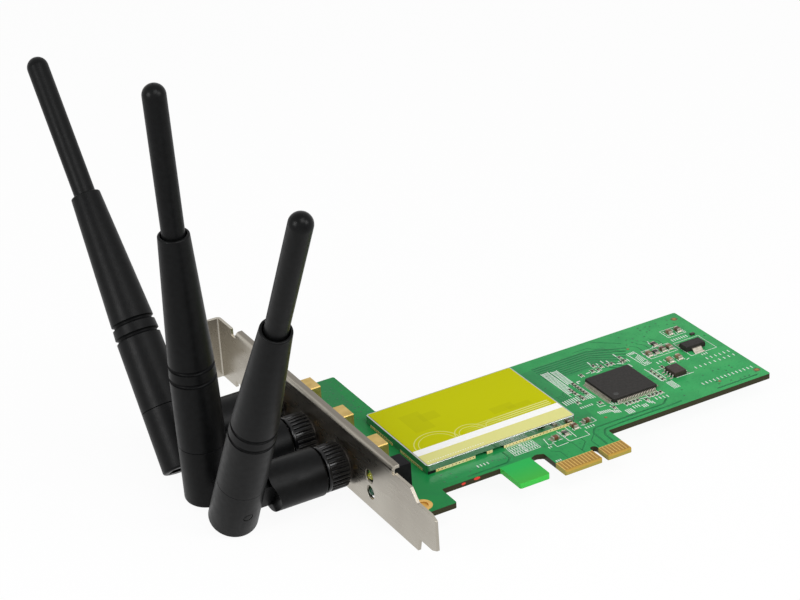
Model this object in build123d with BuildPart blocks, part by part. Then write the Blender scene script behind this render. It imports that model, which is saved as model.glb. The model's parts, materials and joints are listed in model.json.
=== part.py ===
from build123d import *
import os
from math import cos, radians, sin, sqrt

# A wireless network card for a one-lane expansion slot, with three hinged antennas.
# The board lies flat with its parts facing +Z. The origin is the edge connector's datum: the middle of
# the key notch, on the contact edge, half way through the board. +X runs along the card away from the
# bracket and +Y from the contact edge to the board's far edge. Lengths in mm, angles in degrees.

# Circuit board
board_thickness = 1.57
board_gap = 1.1  # between the bracket's inner face and the board
key_to_bracket = 59.05  # key notch to the bracket's outer face
key_to_board_end = 61.25
connector_depth = 11.0  # contact edge to the board's long edge
board_depth = 44.6  # long edge to far edge
ear_width = 20.1
ear_reach = 24.0
foot_width = 14.4
foot_depth = 7.7
lock_tab_width = 9.0
lock_tab_depth = 9.4
lock_slot_width = 3.9
lock_slot_over = 0.5  # how far the slot's round end reaches past the long edge
board_corner = 0.6

# Edge contacts
pads_before_key = 11
pads_after_key = 7
pad_pitch = 1.0
pad_width = 0.7
pad_reach = 4.8  # contact edge to the pads' inner ends
pad_thickness = 0.05
key_to_pad = 1.5
key_width = 1.9
key_depth = 6.6
block_margin = 0.3
bevel_run = 0.6
bevel_rise = 0.35

# Plated mounting hole in the board's foot
ground_hole = 3.2
ground_ring = 5.4
plating = 0.1
ground_hole_in = 6.5  # from the board's bracket end
ground_hole_up = 3.9  # from the foot's outer edge

# Folded steel bracket
sheet = 0.86
bend_radius = 0.5
bracket_width = 18.42
bracket_length = 120.02
bracket_below_board = 2.2
tail_below_edge = 14.5  # contact edge to the tail's end
tail_width = 10.19
tail_offset = 3.85
tail_length = 8.5
tail_bevel_run = 2.3
tail_bevel_rise = 0.9
step_run = 1.0
shoulder_run = 3.0
lip_from_tail = 20.6
lip_length = 87.8
lip_depth = 2.2
relief_width = 1.2
relief_depth = 0.8
side_notch_width = 2.8
side_notch_depth = 2.0
tab_length = 11.43
screw_notch_width = 4.42
screw_notch_depth = 5.2
screw_from_face = 6.35

# Antenna jacks
jack_count = 3
jack_pitch = 18.6
first_jack_y = 32.6
jack_body = 6.35
jack_body_length = 10.8
jack_edge = 0.25
thread_diameter = 6.35
thread_reach = 5.6  # past the bracket's outer face
jack_bore = 4.6
insulator_length = 7.0
insulator_recess = 4.4
contact_diameter = 1.27
contact_reach = 3.0  # past the insulator's face
running_gap = 0.05
snug_gap = 0.02
washer_diameter = 9.4
washer_thickness = 0.6
nut_across_flats = 8.0
nut_thickness = 1.8

# Radio shield, its label and what it covers
shield_left = 14.95  # from the board's bracket end
shield_length = 45.36
shield_width = 32.54
shield_up = 8.1  # from the board's long edge
shield_height = 2.6
shield_sheet = 0.2
shield_corner = 0.8
shield_notch_width = 3.4
shield_notch_height = 0.9
shield_notch_places = (-6.5, -1.3)  # from the shield's middle
label_margin = 0.45
label_thickness = 0.1
radio_size = 9.0
radio_height = 0.85
front_end_size = 4.0
front_end_height = 0.9
radio_in = 26.0  # from the shield's left wall
front_end_in = 8.0
crystal_length = 3.2
crystal_width = 2.5
crystal_height = 0.75
crystal_in = 38.0

# Flat-pack interface chip
chip_size = 14.2
chip_height = 1.2
chip_standoff = 0.1
chip_x = 24.45
chip_y = 17.95  # from the board's long edge
chip_corner = 0.3
chip_draft = 7
chip_leads_a_side = 25
chip_lead_pitch = 0.5
chip_lead_width = 0.24
chip_lead_reach = 1.0

# Small-outline memory chip
memory_length = 4.9
memory_width = 3.9
memory_height = 1.45
memory_x = 40.6
memory_y = 15.2
memory_leads_a_side = 4
memory_lead_pitch = 1.27
memory_lead_width = 0.42
memory_lead_reach = 0.9

# Voltage regulator
regulator_length = 6.5
regulator_width = 3.5
regulator_height = 1.6
regulator_x = 52.9
regulator_y = 24.4
regulator_lead_count = 3
regulator_lead_pitch = 2.3
regulator_lead_width = 0.7
regulator_tab_width = 3.0
regulator_lead_reach = 1.75

# Thin metal of every lead
lead_thickness = 0.15
lead_foot = 0.45

# Status lights
lamp_block_length = 8.6
lamp_block_width = 5.7
lamp_block_height = 7.6
lamp_y = 7.5  # from the board's long edge
lamp_low = 1.95
lamp_spacing = 4.7
lamp_diameter = 2.2
lamp_depth = 4.0
lamp_hole = 3.8

# Chip capacitors and resistors, each row as x, y from the long edge, step in x, step in y
capacitor_size = (1.25, 2.0, 0.95)
capacitor_end = 0.4
capacitor_rows = (
    (52.6, 35.1, 2.9, 0),
    (40.7, 28.0, 0, 0),
    (45.3, 28.0, 2.3, 0),
    (43.3, 21.7, 3.0, 0),
    (1.9, 6.6, 0, 0),
)
capacitor_counts = (2, 1, 2, 2, 1)
turned_capacitors = ((-5.6, 4.3), (6.0, 7.1))  # x and y of those that lie along X
resistor_size = (0.5, 1.0, 0.35)
resistor_end = 0.22
resistor_rows = (
    (24.6, 29.0, 0, 2.4),
    (22.8, 29.2, 3.4, 0.8),
    (28.2, 29.7, 1.3, 0),
    (18.9, 28.9, 13.3, 0),
    (33.2, 29.2, 0, 2.1),
    (14.4, 19.5, 0, 1.32),
    (12.0, 21.2, 0, 1.35),
    (12.2, 17.9, 0, 1.3),
    (9.8, 16.8, 0, 0),
    (14.7, 13.4, 1.5, -4.4),
    (20.1, 8.7, 1.2, 0),
    (25.7, 7.6, 0, 0),
    (27.4, 8.7, 1.25, 0),
    (35.7, 14.2, 0, 1.8),
    (39.6, 19.9, 0, 0),
)
resistor_counts = (2, 2, 2, 2, 2, 6, 3, 2, 1, 2, 4, 1, 4, 4, 1)
large_resistor_size = (1.25, 2.0, 0.55)
large_resistor_end = 0.35
large_resistors = ((-1.9, 5.2), (43.0, 28.0), (45.3, 32.0))
diode_size = (1.3, 0.9, 0.6)
diode_place = (57.3, 30.5)

# Antennas
swivel_angles = (-28.1, -4.7, 39.5)  # lean of each mast from upright, towards +Y
tilt_angles = (0.0, 3.2, 0.0)  # turn of each mast about its pin, away from the card
pivot_reach = 30.4  # bracket's outer face to the hinge pin
nut_start = 0.9  # bracket's outer face to the coupling nut
coupling_length = 6.3
coupling_diameter = 12.4
coupling_ring = 0.7
coupling_recess_diameter = 10.2
coupling_recess_depth = 1.75
coupling_wall = 0.9
rib_count = 28
rib_groove = 0.75
plug_nose_diameter = 4.5
plug_nose_length = 2.65
plug_flange_diameter = 6.3
plug_neck_diameter = 5.0
plug_shank_diameter = 6.0
plug_shank_length = 8.0
plug_socket = 1.6
barrel_gap = 0.5  # between the coupling nut and the barrel
barrel_diameter = 13.0
barrel_edge = 0.4
horn_blunt = 0.4  # flat left at the tips of the barrel's scooped end
tongue_thickness = 5.0
tongue_height = 9.0
pin_diameter = 2.6
hinge_gap = 0.12
pin_recess = 0.25
mast_end = 8.6  # hinge pin to the mast's lower end
mast_length = 119.4
mast_end_diameter = 12.9
mast_waist_diameter = 12.1
mast_top_diameter = 8.1
mast_edge = 0.4
shoulder_edge = 0.35
scoop_over = 0.8  # scoop's radius past the mast's lower end
scoop_gap = 0.25
groove_places = (37.5, 41.2)  # from the mast's lower end
groove_radius = 0.75
sleeve_length = 78.6
rim_diameter = 6.9
rim_depth = 1.0
rod_diameter = 5.9
rod_insert = 12.0
radiator_bore_start = 24.0
choke_diameter = 4.4
wire_diameter = 1.5
wire_tip_gap = 6.0

# Places that follow from the sizes above
board_top = board_thickness / 2
board_bottom = -board_thickness / 2
long_edge = connector_depth
far_edge = long_edge + board_depth
bracket_outer = -key_to_bracket
bracket_inner = bracket_outer + sheet
board_left = bracket_inner + board_gap
block_left = -(key_to_pad + (pads_before_key - 1) * pad_pitch + pad_width / 2 + block_margin)
block_right = key_to_pad + (pads_after_key - 1) * pad_pitch + pad_width / 2 + block_margin
lock_tab_right = block_left - lock_slot_width
foot_edge = long_edge - foot_depth
bracket_bottom = board_bottom - bracket_below_board
bracket_top = bracket_bottom + bracket_width
tail_end = -tail_below_edge
tab_top = tail_end + bracket_length
fold_depth = sheet + bend_radius
jack_z = board_top + jack_body / 2
jack_places = [first_jack_y + jack_pitch * i for i in range(jack_count)]
lamp_heights = (lamp_low, lamp_low + lamp_spacing)
lamp_place = long_edge + lamp_y

os.makedirs("parts", exist_ok=True)


def save(piece, name):
    piece.part.label = name
    export_step(piece.part, f"parts/{name}.step")


def bounded(x_low, x_high, y_low, y_high):
    """A rectangle between two corners, in the sketch being drawn."""
    with Locations(((x_low + x_high) / 2, (y_low + y_high) / 2)):
        Rectangle(x_high - x_low, y_high - y_low)


def on_board(places):
    """Places on the board's top face, from x and y above the long edge."""
    return [(x, long_edge + y, board_top) for x, y in places]


def row_points(rows, counts):
    """Places on the board's top face of every small part in some rows."""
    points = []
    for (x, y, step_x, step_y), count in zip(rows, counts):
        for i in range(count):
            points.append((x + i * step_x, y + i * step_y))
    return on_board(points)


# Circuit board: one routed outline, with the slots cut after its corners are rounded
with BuildPart() as circuit_board:
    with BuildSketch():
        bounded(board_left, key_to_board_end, long_edge, far_edge)
        bounded(board_left, board_left + ear_width, long_edge, far_edge + ear_reach)
        bounded(board_left, board_left + foot_width, foot_edge, far_edge)
        bounded(lock_tab_right - lock_tab_width, lock_tab_right, long_edge - lock_tab_depth, far_edge)
        bounded(block_left, block_right, 0, far_edge)
    extrude(amount=board_thickness / 2, both=True)
    fillet(circuit_board.edges().filter_by(Axis.Z), radius=board_corner)
    slot_radius = lock_slot_width / 2
    slot_top = long_edge + lock_slot_over - slot_radius
    with BuildSketch():
        with Locations((block_left - slot_radius, slot_top)):
            Circle(slot_radius)
        bounded(lock_tab_right, block_left, long_edge - slot_radius - board_corner, slot_top)
        bounded(-key_width / 2, key_width / 2, -board_corner, key_depth - key_width / 2)
        with Locations((0, key_depth - key_width / 2)):
            Circle(key_width / 2)
        with Locations((board_left + ground_hole_in, foot_edge + ground_hole_up)):
            Circle(ground_hole / 2 + plating)
    extrude(amount=board_thickness, both=True, mode=Mode.SUBTRACT)
    key_edges = circuit_board.edges().filter_by(Axis.Z).filter_by_position(Axis.X, -key_width, key_width)
    fillet(key_edges.group_by(Axis.Y)[0], radius=board_corner)
    with BuildSketch(Plane.YZ.offset(block_left)):
        for side in (1, -1):
            face = side * board_thickness / 2
            with BuildLine():
                Polyline((0, face), (bevel_run, face), (0, face - side * bevel_rise), close=True)
            make_face()
    extrude(amount=block_right - block_left, mode=Mode.SUBTRACT)
save(circuit_board, "circuit_board")

# Gold contacts on both faces of the edge connector
pad_centres = [-key_to_pad - i * pad_pitch for i in range(pads_before_key)]
pad_centres += [key_to_pad + i * pad_pitch for i in range(pads_after_key)]
pad_length = pad_reach - bevel_run
with BuildPart() as contact_fingers:
    for face, growth in ((board_top, pad_thickness), (board_bottom, -pad_thickness)):
        with BuildSketch(Plane.XY.offset(face)):
            with Locations(*[(x, bevel_run + pad_length / 2) for x in pad_centres]):
                Rectangle(pad_width, pad_length)
        extrude(amount=growth)
save(contact_fingers, "contact_fingers")

# Plating that lines the hole in the board's foot, with a ring on each face
with BuildPart() as hole_plating:
    with BuildSketch(Plane.XY.offset(board_bottom - plating)):
        with Locations((board_left + ground_hole_in, foot_edge + ground_hole_up)):
            Circle(ground_hole / 2 + plating)
            Circle(ground_hole / 2, mode=Mode.SUBTRACT)
    extrude(amount=board_thickness + 2 * plating)
    for face, growth in ((board_top, plating), (board_bottom, -plating)):
        with BuildSketch(Plane.XY.offset(face)):
            with Locations((board_left + ground_hole_in, foot_edge + ground_hole_up)):
                Circle(ground_ring / 2)
                Circle(ground_hole / 2, mode=Mode.SUBTRACT)
        extrude(amount=growth)
save(hole_plating, "hole_plating")


def fold_profile(flange):
    """Section of a right-angle fold that starts on a plate lying along local Y from x=0 to x=sheet."""
    with BuildLine() as section:
        outer = CenterArc((fold_depth, 0), fold_depth, 90, 90)
        inner = CenterArc((fold_depth, 0), bend_radius, 90, 90)
        Polyline(outer @ 0, (flange, fold_depth), (flange, bend_radius), inner @ 0)
        Line(outer @ 1, inner @ 1)
    make_face(section.edges())


# Bracket: a flat plate with a tail, a stiffening lip folded inwards and a screw tab folded outwards
lip_base = bracket_top - fold_depth
tab_base = tab_top - fold_depth
lip_near = tail_end + lip_from_tail
lip_far = lip_near + lip_length
tail_bottom = bracket_bottom + tail_offset
tail_top = tail_bottom + tail_width
step_y = tail_end + tail_length
notch_far = lip_far + side_notch_width
with BuildPart() as bracket:
    with BuildSketch(Plane.YZ.offset(bracket_outer)):
        with BuildLine():
            Polyline(
                (tail_end, tail_bottom + tail_bevel_rise),
                (tail_end + tail_bevel_run, tail_bottom),
                (step_y, tail_bottom),
                (step_y + step_run, bracket_bottom),
                (tab_base, bracket_bottom),
                (tab_base, bracket_top),
                (notch_far, bracket_top),
                (notch_far, bracket_top - side_notch_depth),
                (lip_far, bracket_top - side_notch_depth),
                (lip_far, lip_base),
                (lip_near, lip_base),
                (lip_near, lip_base - relief_depth),
                (lip_near - relief_width, lip_base - relief_depth),
                (lip_near - relief_width, lip_base),
                (step_y + shoulder_run, lip_base),
                (step_y, tail_top),
                (tail_end + tail_bevel_run, tail_top),
                (tail_end, tail_top - tail_bevel_rise),
                close=True,
            )
        make_face()
        with Locations(((lip_far + notch_far) / 2, bracket_bottom + side_notch_depth / 2)):
            Rectangle(side_notch_width, side_notch_depth, mode=Mode.SUBTRACT)
        with Locations(*[(y, jack_z) for y in jack_places]):
            Circle(thread_diameter / 2 + running_gap, mode=Mode.SUBTRACT)
        with Locations(*[(lamp_place, z) for z in lamp_heights]):
            Circle(lamp_hole / 2, mode=Mode.SUBTRACT)
    extrude(amount=sheet)
    with BuildSketch(Plane((bracket_outer, lip_far, lip_base), x_dir=(1, 0, 0), z_dir=(0, -1, 0))):
        fold_profile(lip_depth)
    extrude(amount=lip_length)
    with BuildSketch(Plane((bracket_inner, tab_base, bracket_top), x_dir=(-1, 0, 0), z_dir=(0, 0, -1))):
        fold_profile(tab_length)
    extrude(amount=bracket_width)
    notch_radius = screw_notch_width / 2
    notch_x = bracket_outer - screw_from_face
    notch_end = bracket_bottom + screw_notch_depth - notch_radius
    with BuildSketch(Plane.XZ.offset(-tab_top)):
        bounded(notch_x - notch_radius, notch_x + notch_radius, bracket_bottom - notch_radius, notch_end)
        with Locations((notch_x, notch_end)):
            Circle(notch_radius)
    extrude(amount=fold_depth, mode=Mode.SUBTRACT)
save(bracket, "bracket")

# Antenna jacks: a square gilt body on the board and a threaded neck through the bracket
neck_end = bracket_outer - thread_reach
insulator_face = neck_end + insulator_recess
insulator_back = insulator_face + insulator_length
for number, jack_y in enumerate(jack_places, start=1):
    with BuildPart() as jack:
        with BuildSketch(Plane.YZ.offset(bracket_inner)):
            with Locations((jack_y, jack_z)):
                Rectangle(jack_body, jack_body)
        extrude(amount=jack_body_length)
        chamfer(jack.edges().filter_by(Axis.X).group_by(Axis.Z)[-1], length=jack_edge)
        with BuildSketch(Plane.YZ.offset(neck_end)):
            with Locations((jack_y, jack_z)):
                Circle(thread_diameter / 2)
        extrude(amount=bracket_inner - neck_end)
        with BuildSketch(Plane.YZ.offset(neck_end)):
            with Locations((jack_y, jack_z)):
                Circle(jack_bore / 2)
        extrude(amount=insulator_back - neck_end, mode=Mode.SUBTRACT)
    save(jack, f"antenna_jack_{number}")

jack_axes = [(y, jack_z) for y in jack_places]
with BuildPart() as jack_insulators:
    with BuildSketch(Plane.YZ.offset(insulator_face)):
        with Locations(*jack_axes):
            Circle(jack_bore / 2 - snug_gap)
            Circle(contact_diameter / 2 + snug_gap, mode=Mode.SUBTRACT)
    extrude(amount=insulator_length)
save(jack_insulators, "jack_insulators")

with BuildPart() as jack_contacts:
    with BuildSketch(Plane.YZ.offset(insulator_face - contact_reach)):
        with Locations(*jack_axes):
            Circle(contact_diameter / 2)
    extrude(amount=contact_reach + insulator_length)
save(jack_contacts, "jack_contacts")

with BuildPart() as jack_washers:
    with BuildSketch(Plane.YZ.offset(bracket_outer)):
        with Locations(*jack_axes):
            Circle(washer_diameter / 2)
            Circle(thread_diameter / 2 + running_gap, mode=Mode.SUBTRACT)
    extrude(amount=-washer_thickness)
save(jack_washers, "jack_washers")

with BuildPart() as jack_nuts:
    with BuildSketch(Plane.YZ.offset(bracket_outer - washer_thickness)):
        with Locations(*jack_axes):
            RegularPolygon(nut_across_flats / 2, 6, major_radius=False)
            Circle(thread_diameter / 2 + running_gap, mode=Mode.SUBTRACT)
    extrude(amount=-nut_thickness)
save(jack_nuts, "jack_nuts")

# Radio shield: a drawn tin lid with cut-outs along the foot of its long walls
shield_x = board_left + shield_left + shield_length / 2
shield_y = long_edge + shield_up + shield_width / 2
shield_top = board_top + shield_height
with BuildPart() as shield_cover:
    with BuildSketch(Plane.XY.offset(board_top)):
        with Locations((shield_x, shield_y)):
            RectangleRounded(shield_length, shield_width, shield_corner)
    extrude(amount=shield_height)
    offset(amount=-shield_sheet, openings=shield_cover.faces().sort_by(Axis.Z)[0])
    with BuildSketch(Plane.XZ.offset(-shield_y)):
        with Locations(*[(shield_x + x, board_top) for x in shield_notch_places]):
            Rectangle(shield_notch_width, 2 * shield_notch_height)
    extrude(amount=shield_width, both=True, mode=Mode.SUBTRACT)
save(shield_cover, "shield_cover")

with BuildPart() as shield_label:
    with BuildSketch(Plane.XY.offset(shield_top)):
        with Locations((shield_x, shield_y)):
            Rectangle(shield_length - 2 * label_margin, shield_width - 2 * label_margin)
    extrude(amount=label_thickness)
save(shield_label, "shield_label")

shield_wall = shield_x - shield_length / 2
with BuildPart() as radio_transceiver:
    with BuildSketch(Plane.XY.offset(board_top)):
        with Locations((shield_wall + radio_in, shield_y)):
            Rectangle(radio_size, radio_size)
    extrude(amount=radio_height)
save(radio_transceiver, "radio_transceiver")

with BuildPart() as front_end_chips:
    with BuildSketch(Plane.XY.offset(board_top)):
        with Locations((shield_wall + front_end_in, shield_y)):
            with GridLocations(0, shield_width / jack_count, 1, jack_count):
                Rectangle(front_end_size, front_end_size)
    extrude(amount=front_end_height)
save(front_end_chips, "front_end_chips")

with BuildPart() as reference_crystal:
    with BuildSketch(Plane.XY.offset(board_top)):
        with Locations((shield_wall + crystal_in, shield_y)):
            Rectangle(crystal_length, crystal_width)
    extrude(amount=crystal_height)
save(reference_crystal, "reference_crystal")


def lead_profile(inner, reach, height):
    """Side view of one gull-wing lead, from the body's side at local x=inner down to the board."""
    bend = inner + lead_foot
    toe = inner + reach
    heel = toe - lead_foot
    with BuildLine() as side_view:
        Polyline(
            (inner, height),
            (bend, height),
            (heel, lead_thickness),
            (toe, lead_thickness),
            (toe, 0),
            (heel - lead_thickness, 0),
            (bend - lead_thickness, height - lead_thickness),
            (inner, height - lead_thickness),
            close=True,
        )
    make_face(side_view.edges())


# Flat-pack chip: a moulded body drafted both ways from its parting line, with leads on four sides
chip_middle = chip_standoff + chip_height / 2
chip_centre = (chip_x, long_edge + chip_y)
with BuildPart() as interface_chip:
    with BuildSketch(Plane.XY.offset(board_top + chip_middle)) as chip_outline:
        with Locations(chip_centre):
            Rectangle(chip_size, chip_size)
        chamfer(chip_outline.vertices(), length=chip_corner)
    extrude(amount=chip_height / 2, both=True, taper=chip_draft)
save(interface_chip, "interface_chip")

with BuildPart() as chip_lead:
    with BuildSketch(Plane.XZ):
        lead_profile(chip_size / 2, chip_lead_reach, chip_middle + lead_thickness / 2)
    extrude(amount=chip_lead_width / 2, both=True)
lead_shifts = [(i - (chip_leads_a_side - 1) / 2) * chip_lead_pitch for i in range(chip_leads_a_side)]
with BuildPart() as chip_leads:
    with Locations((*chip_centre, board_top)):
        with PolarLocations(0, 4):
            with Locations(*[(0, shift, 0) for shift in lead_shifts]):
                add(chip_lead.part)
save(chip_leads, "interface_chip_leads")

# Small-outline memory chip, with leads on its two long sides
memory_centre = (memory_x, long_edge + memory_y)
memory_middle = chip_standoff + memory_height / 2
with BuildPart() as memory_chip:
    with BuildSketch(Plane.XY.offset(board_top + memory_middle)):
        with Locations(memory_centre):
            Rectangle(memory_width, memory_length)
    extrude(amount=memory_height / 2, both=True, taper=chip_draft)
save(memory_chip, "memory_chip")

with BuildPart() as memory_lead:
    with BuildSketch(Plane.XZ):
        lead_profile(memory_width / 2, memory_lead_reach, memory_middle + lead_thickness / 2)
    extrude(amount=memory_lead_width / 2, both=True)
with BuildPart() as memory_leads:
    with Locations((*memory_centre, board_top)):
        with PolarLocations(0, 2):
            with GridLocations(0, memory_lead_pitch, 1, memory_leads_a_side):
                add(memory_lead.part)
save(memory_leads, "memory_chip_leads")

# Voltage regulator: a moulded body with one wide cooling tab and three leads
regulator_centre = (regulator_x, long_edge + regulator_y)
regulator_middle = chip_standoff + regulator_height / 2
with BuildPart() as regulator:
    with BuildSketch(Plane.XY.offset(board_top + regulator_middle)):
        with Locations(regulator_centre):
            Rectangle(regulator_length, regulator_width)
    extrude(amount=regulator_height / 2, both=True, taper=chip_draft)
save(regulator, "voltage_regulator")

with BuildPart() as regulator_lead:
    with BuildSketch(Plane.YZ):
        lead_profile(regulator_width / 2, regulator_lead_reach, regulator_middle + lead_thickness / 2)
    extrude(amount=regulator_lead_width / 2, both=True)
with BuildPart() as regulator_tab:
    with BuildSketch(Plane.YZ):
        lead_profile(regulator_width / 2, regulator_lead_reach, regulator_middle + lead_thickness / 2)
    extrude(amount=regulator_tab_width / 2, both=True)
with BuildPart() as regulator_leads:
    with Locations((*regulator_centre, board_top)):
        with GridLocations(regulator_lead_pitch, 0, regulator_lead_count, 1):
            add(regulator_lead.part)
        with Locations(Rotation(0, 0, 180)):
            add(regulator_tab.part)
save(regulator_leads, "voltage_regulator_leads")

# Status lights: two domed lamps in one black block that stands behind the bracket
lamp_block_front = board_left
with BuildPart() as lamp_block:
    with BuildSketch(Plane.YZ.offset(lamp_block_front)):
        with Locations((lamp_place, board_top + lamp_block_height / 2)):
            Rectangle(lamp_block_width, lamp_block_height)
    extrude(amount=lamp_block_length)
    with BuildSketch(Plane.YZ.offset(lamp_block_front)):
        with Locations(*[(lamp_place, z) for z in lamp_heights]):
            Circle(lamp_diameter / 2 + snug_gap)
    extrude(amount=lamp_depth, mode=Mode.SUBTRACT)
save(lamp_block, "lamp_block")

for name, lamp_z in zip(("lower", "upper"), lamp_heights):
    with BuildPart() as lamp:
        with BuildSketch(Plane.YZ.offset(bracket_inner)):
            with Locations((lamp_place, lamp_z)):
                Circle(lamp_diameter / 2)
        extrude(amount=board_gap + lamp_depth)
        with Locations((bracket_inner, lamp_place, lamp_z)):
            Sphere(lamp_diameter / 2)
    save(lamp, f"status_lamp_{name}")


def chip_bodies(size, end, places, turn=0):
    """Middles of two-ended chip parts that lie along Y, or are turned from it."""
    width, length, height = size
    with Locations(*[Location(place, (0, 0, turn)) for place in places]):
        Box(width, length - 2 * end, height, align=(Align.CENTER, Align.CENTER, Align.MIN))


def chip_ends(size, end, places, turn=0):
    """Tinned ends of two-ended chip parts that lie along Y, or are turned from it."""
    width, length, height = size
    with Locations(*[Location(place, (0, 0, turn)) for place in places]):
        with GridLocations(0, length - end, 1, 2):
            Box(width, end, height, align=(Align.CENTER, Align.CENTER, Align.MIN))


capacitor_places = row_points(capacitor_rows, capacitor_counts)
turned_places = on_board(turned_capacitors)
with BuildPart() as capacitors:
    chip_bodies(capacitor_size, capacitor_end, capacitor_places)
    chip_bodies(capacitor_size, capacitor_end, turned_places, turn=90)
save(capacitors, "capacitor_bodies")

with BuildPart() as capacitor_ends:
    chip_ends(capacitor_size, capacitor_end, capacitor_places)
    chip_ends(capacitor_size, capacitor_end, turned_places, turn=90)
save(capacitor_ends, "capacitor_ends")

resistor_places = row_points(resistor_rows, resistor_counts)
large_places = on_board(large_resistors)
with BuildPart() as resistors:
    chip_bodies(resistor_size, resistor_end, resistor_places)
    chip_bodies(large_resistor_size, large_resistor_end, large_places)
save(resistors, "resistor_bodies")

with BuildPart() as resistor_ends:
    chip_ends(resistor_size, resistor_end, resistor_places)
    chip_ends(large_resistor_size, large_resistor_end, large_places)
save(resistor_ends, "resistor_ends")

with BuildPart() as diode:
    with Locations(*on_board([diode_place])):
        Box(*diode_size, align=(Align.CENTER, Align.CENTER, Align.MIN))
save(diode, "protection_diode")

# Antennas. Stations along the jack's axis are x places in the hinge plane, measured from the pin.
coupling_near = pivot_reach - nut_start
coupling_far = coupling_near - coupling_length
thread_end = pivot_reach - thread_reach
flange_near = thread_end - running_gap
flange_far = coupling_far + coupling_wall + running_gap
barrel_near = coupling_far - barrel_gap
shank_far = barrel_near - plug_shank_length
mast_radius = mast_end_diameter / 2
scoop_radius = mast_end + scoop_over
relief_radius = scoop_radius - scoop_gap
barrel_radius = barrel_diameter / 2
horn_tip = sqrt(scoop_radius**2 - barrel_radius**2) + horn_blunt
tongue_radius = tongue_height / 2
sleeve_top = sleeve_length - mast_end
rod_start = sleeve_top - rod_insert
rod_end = mast_length - mast_end

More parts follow.
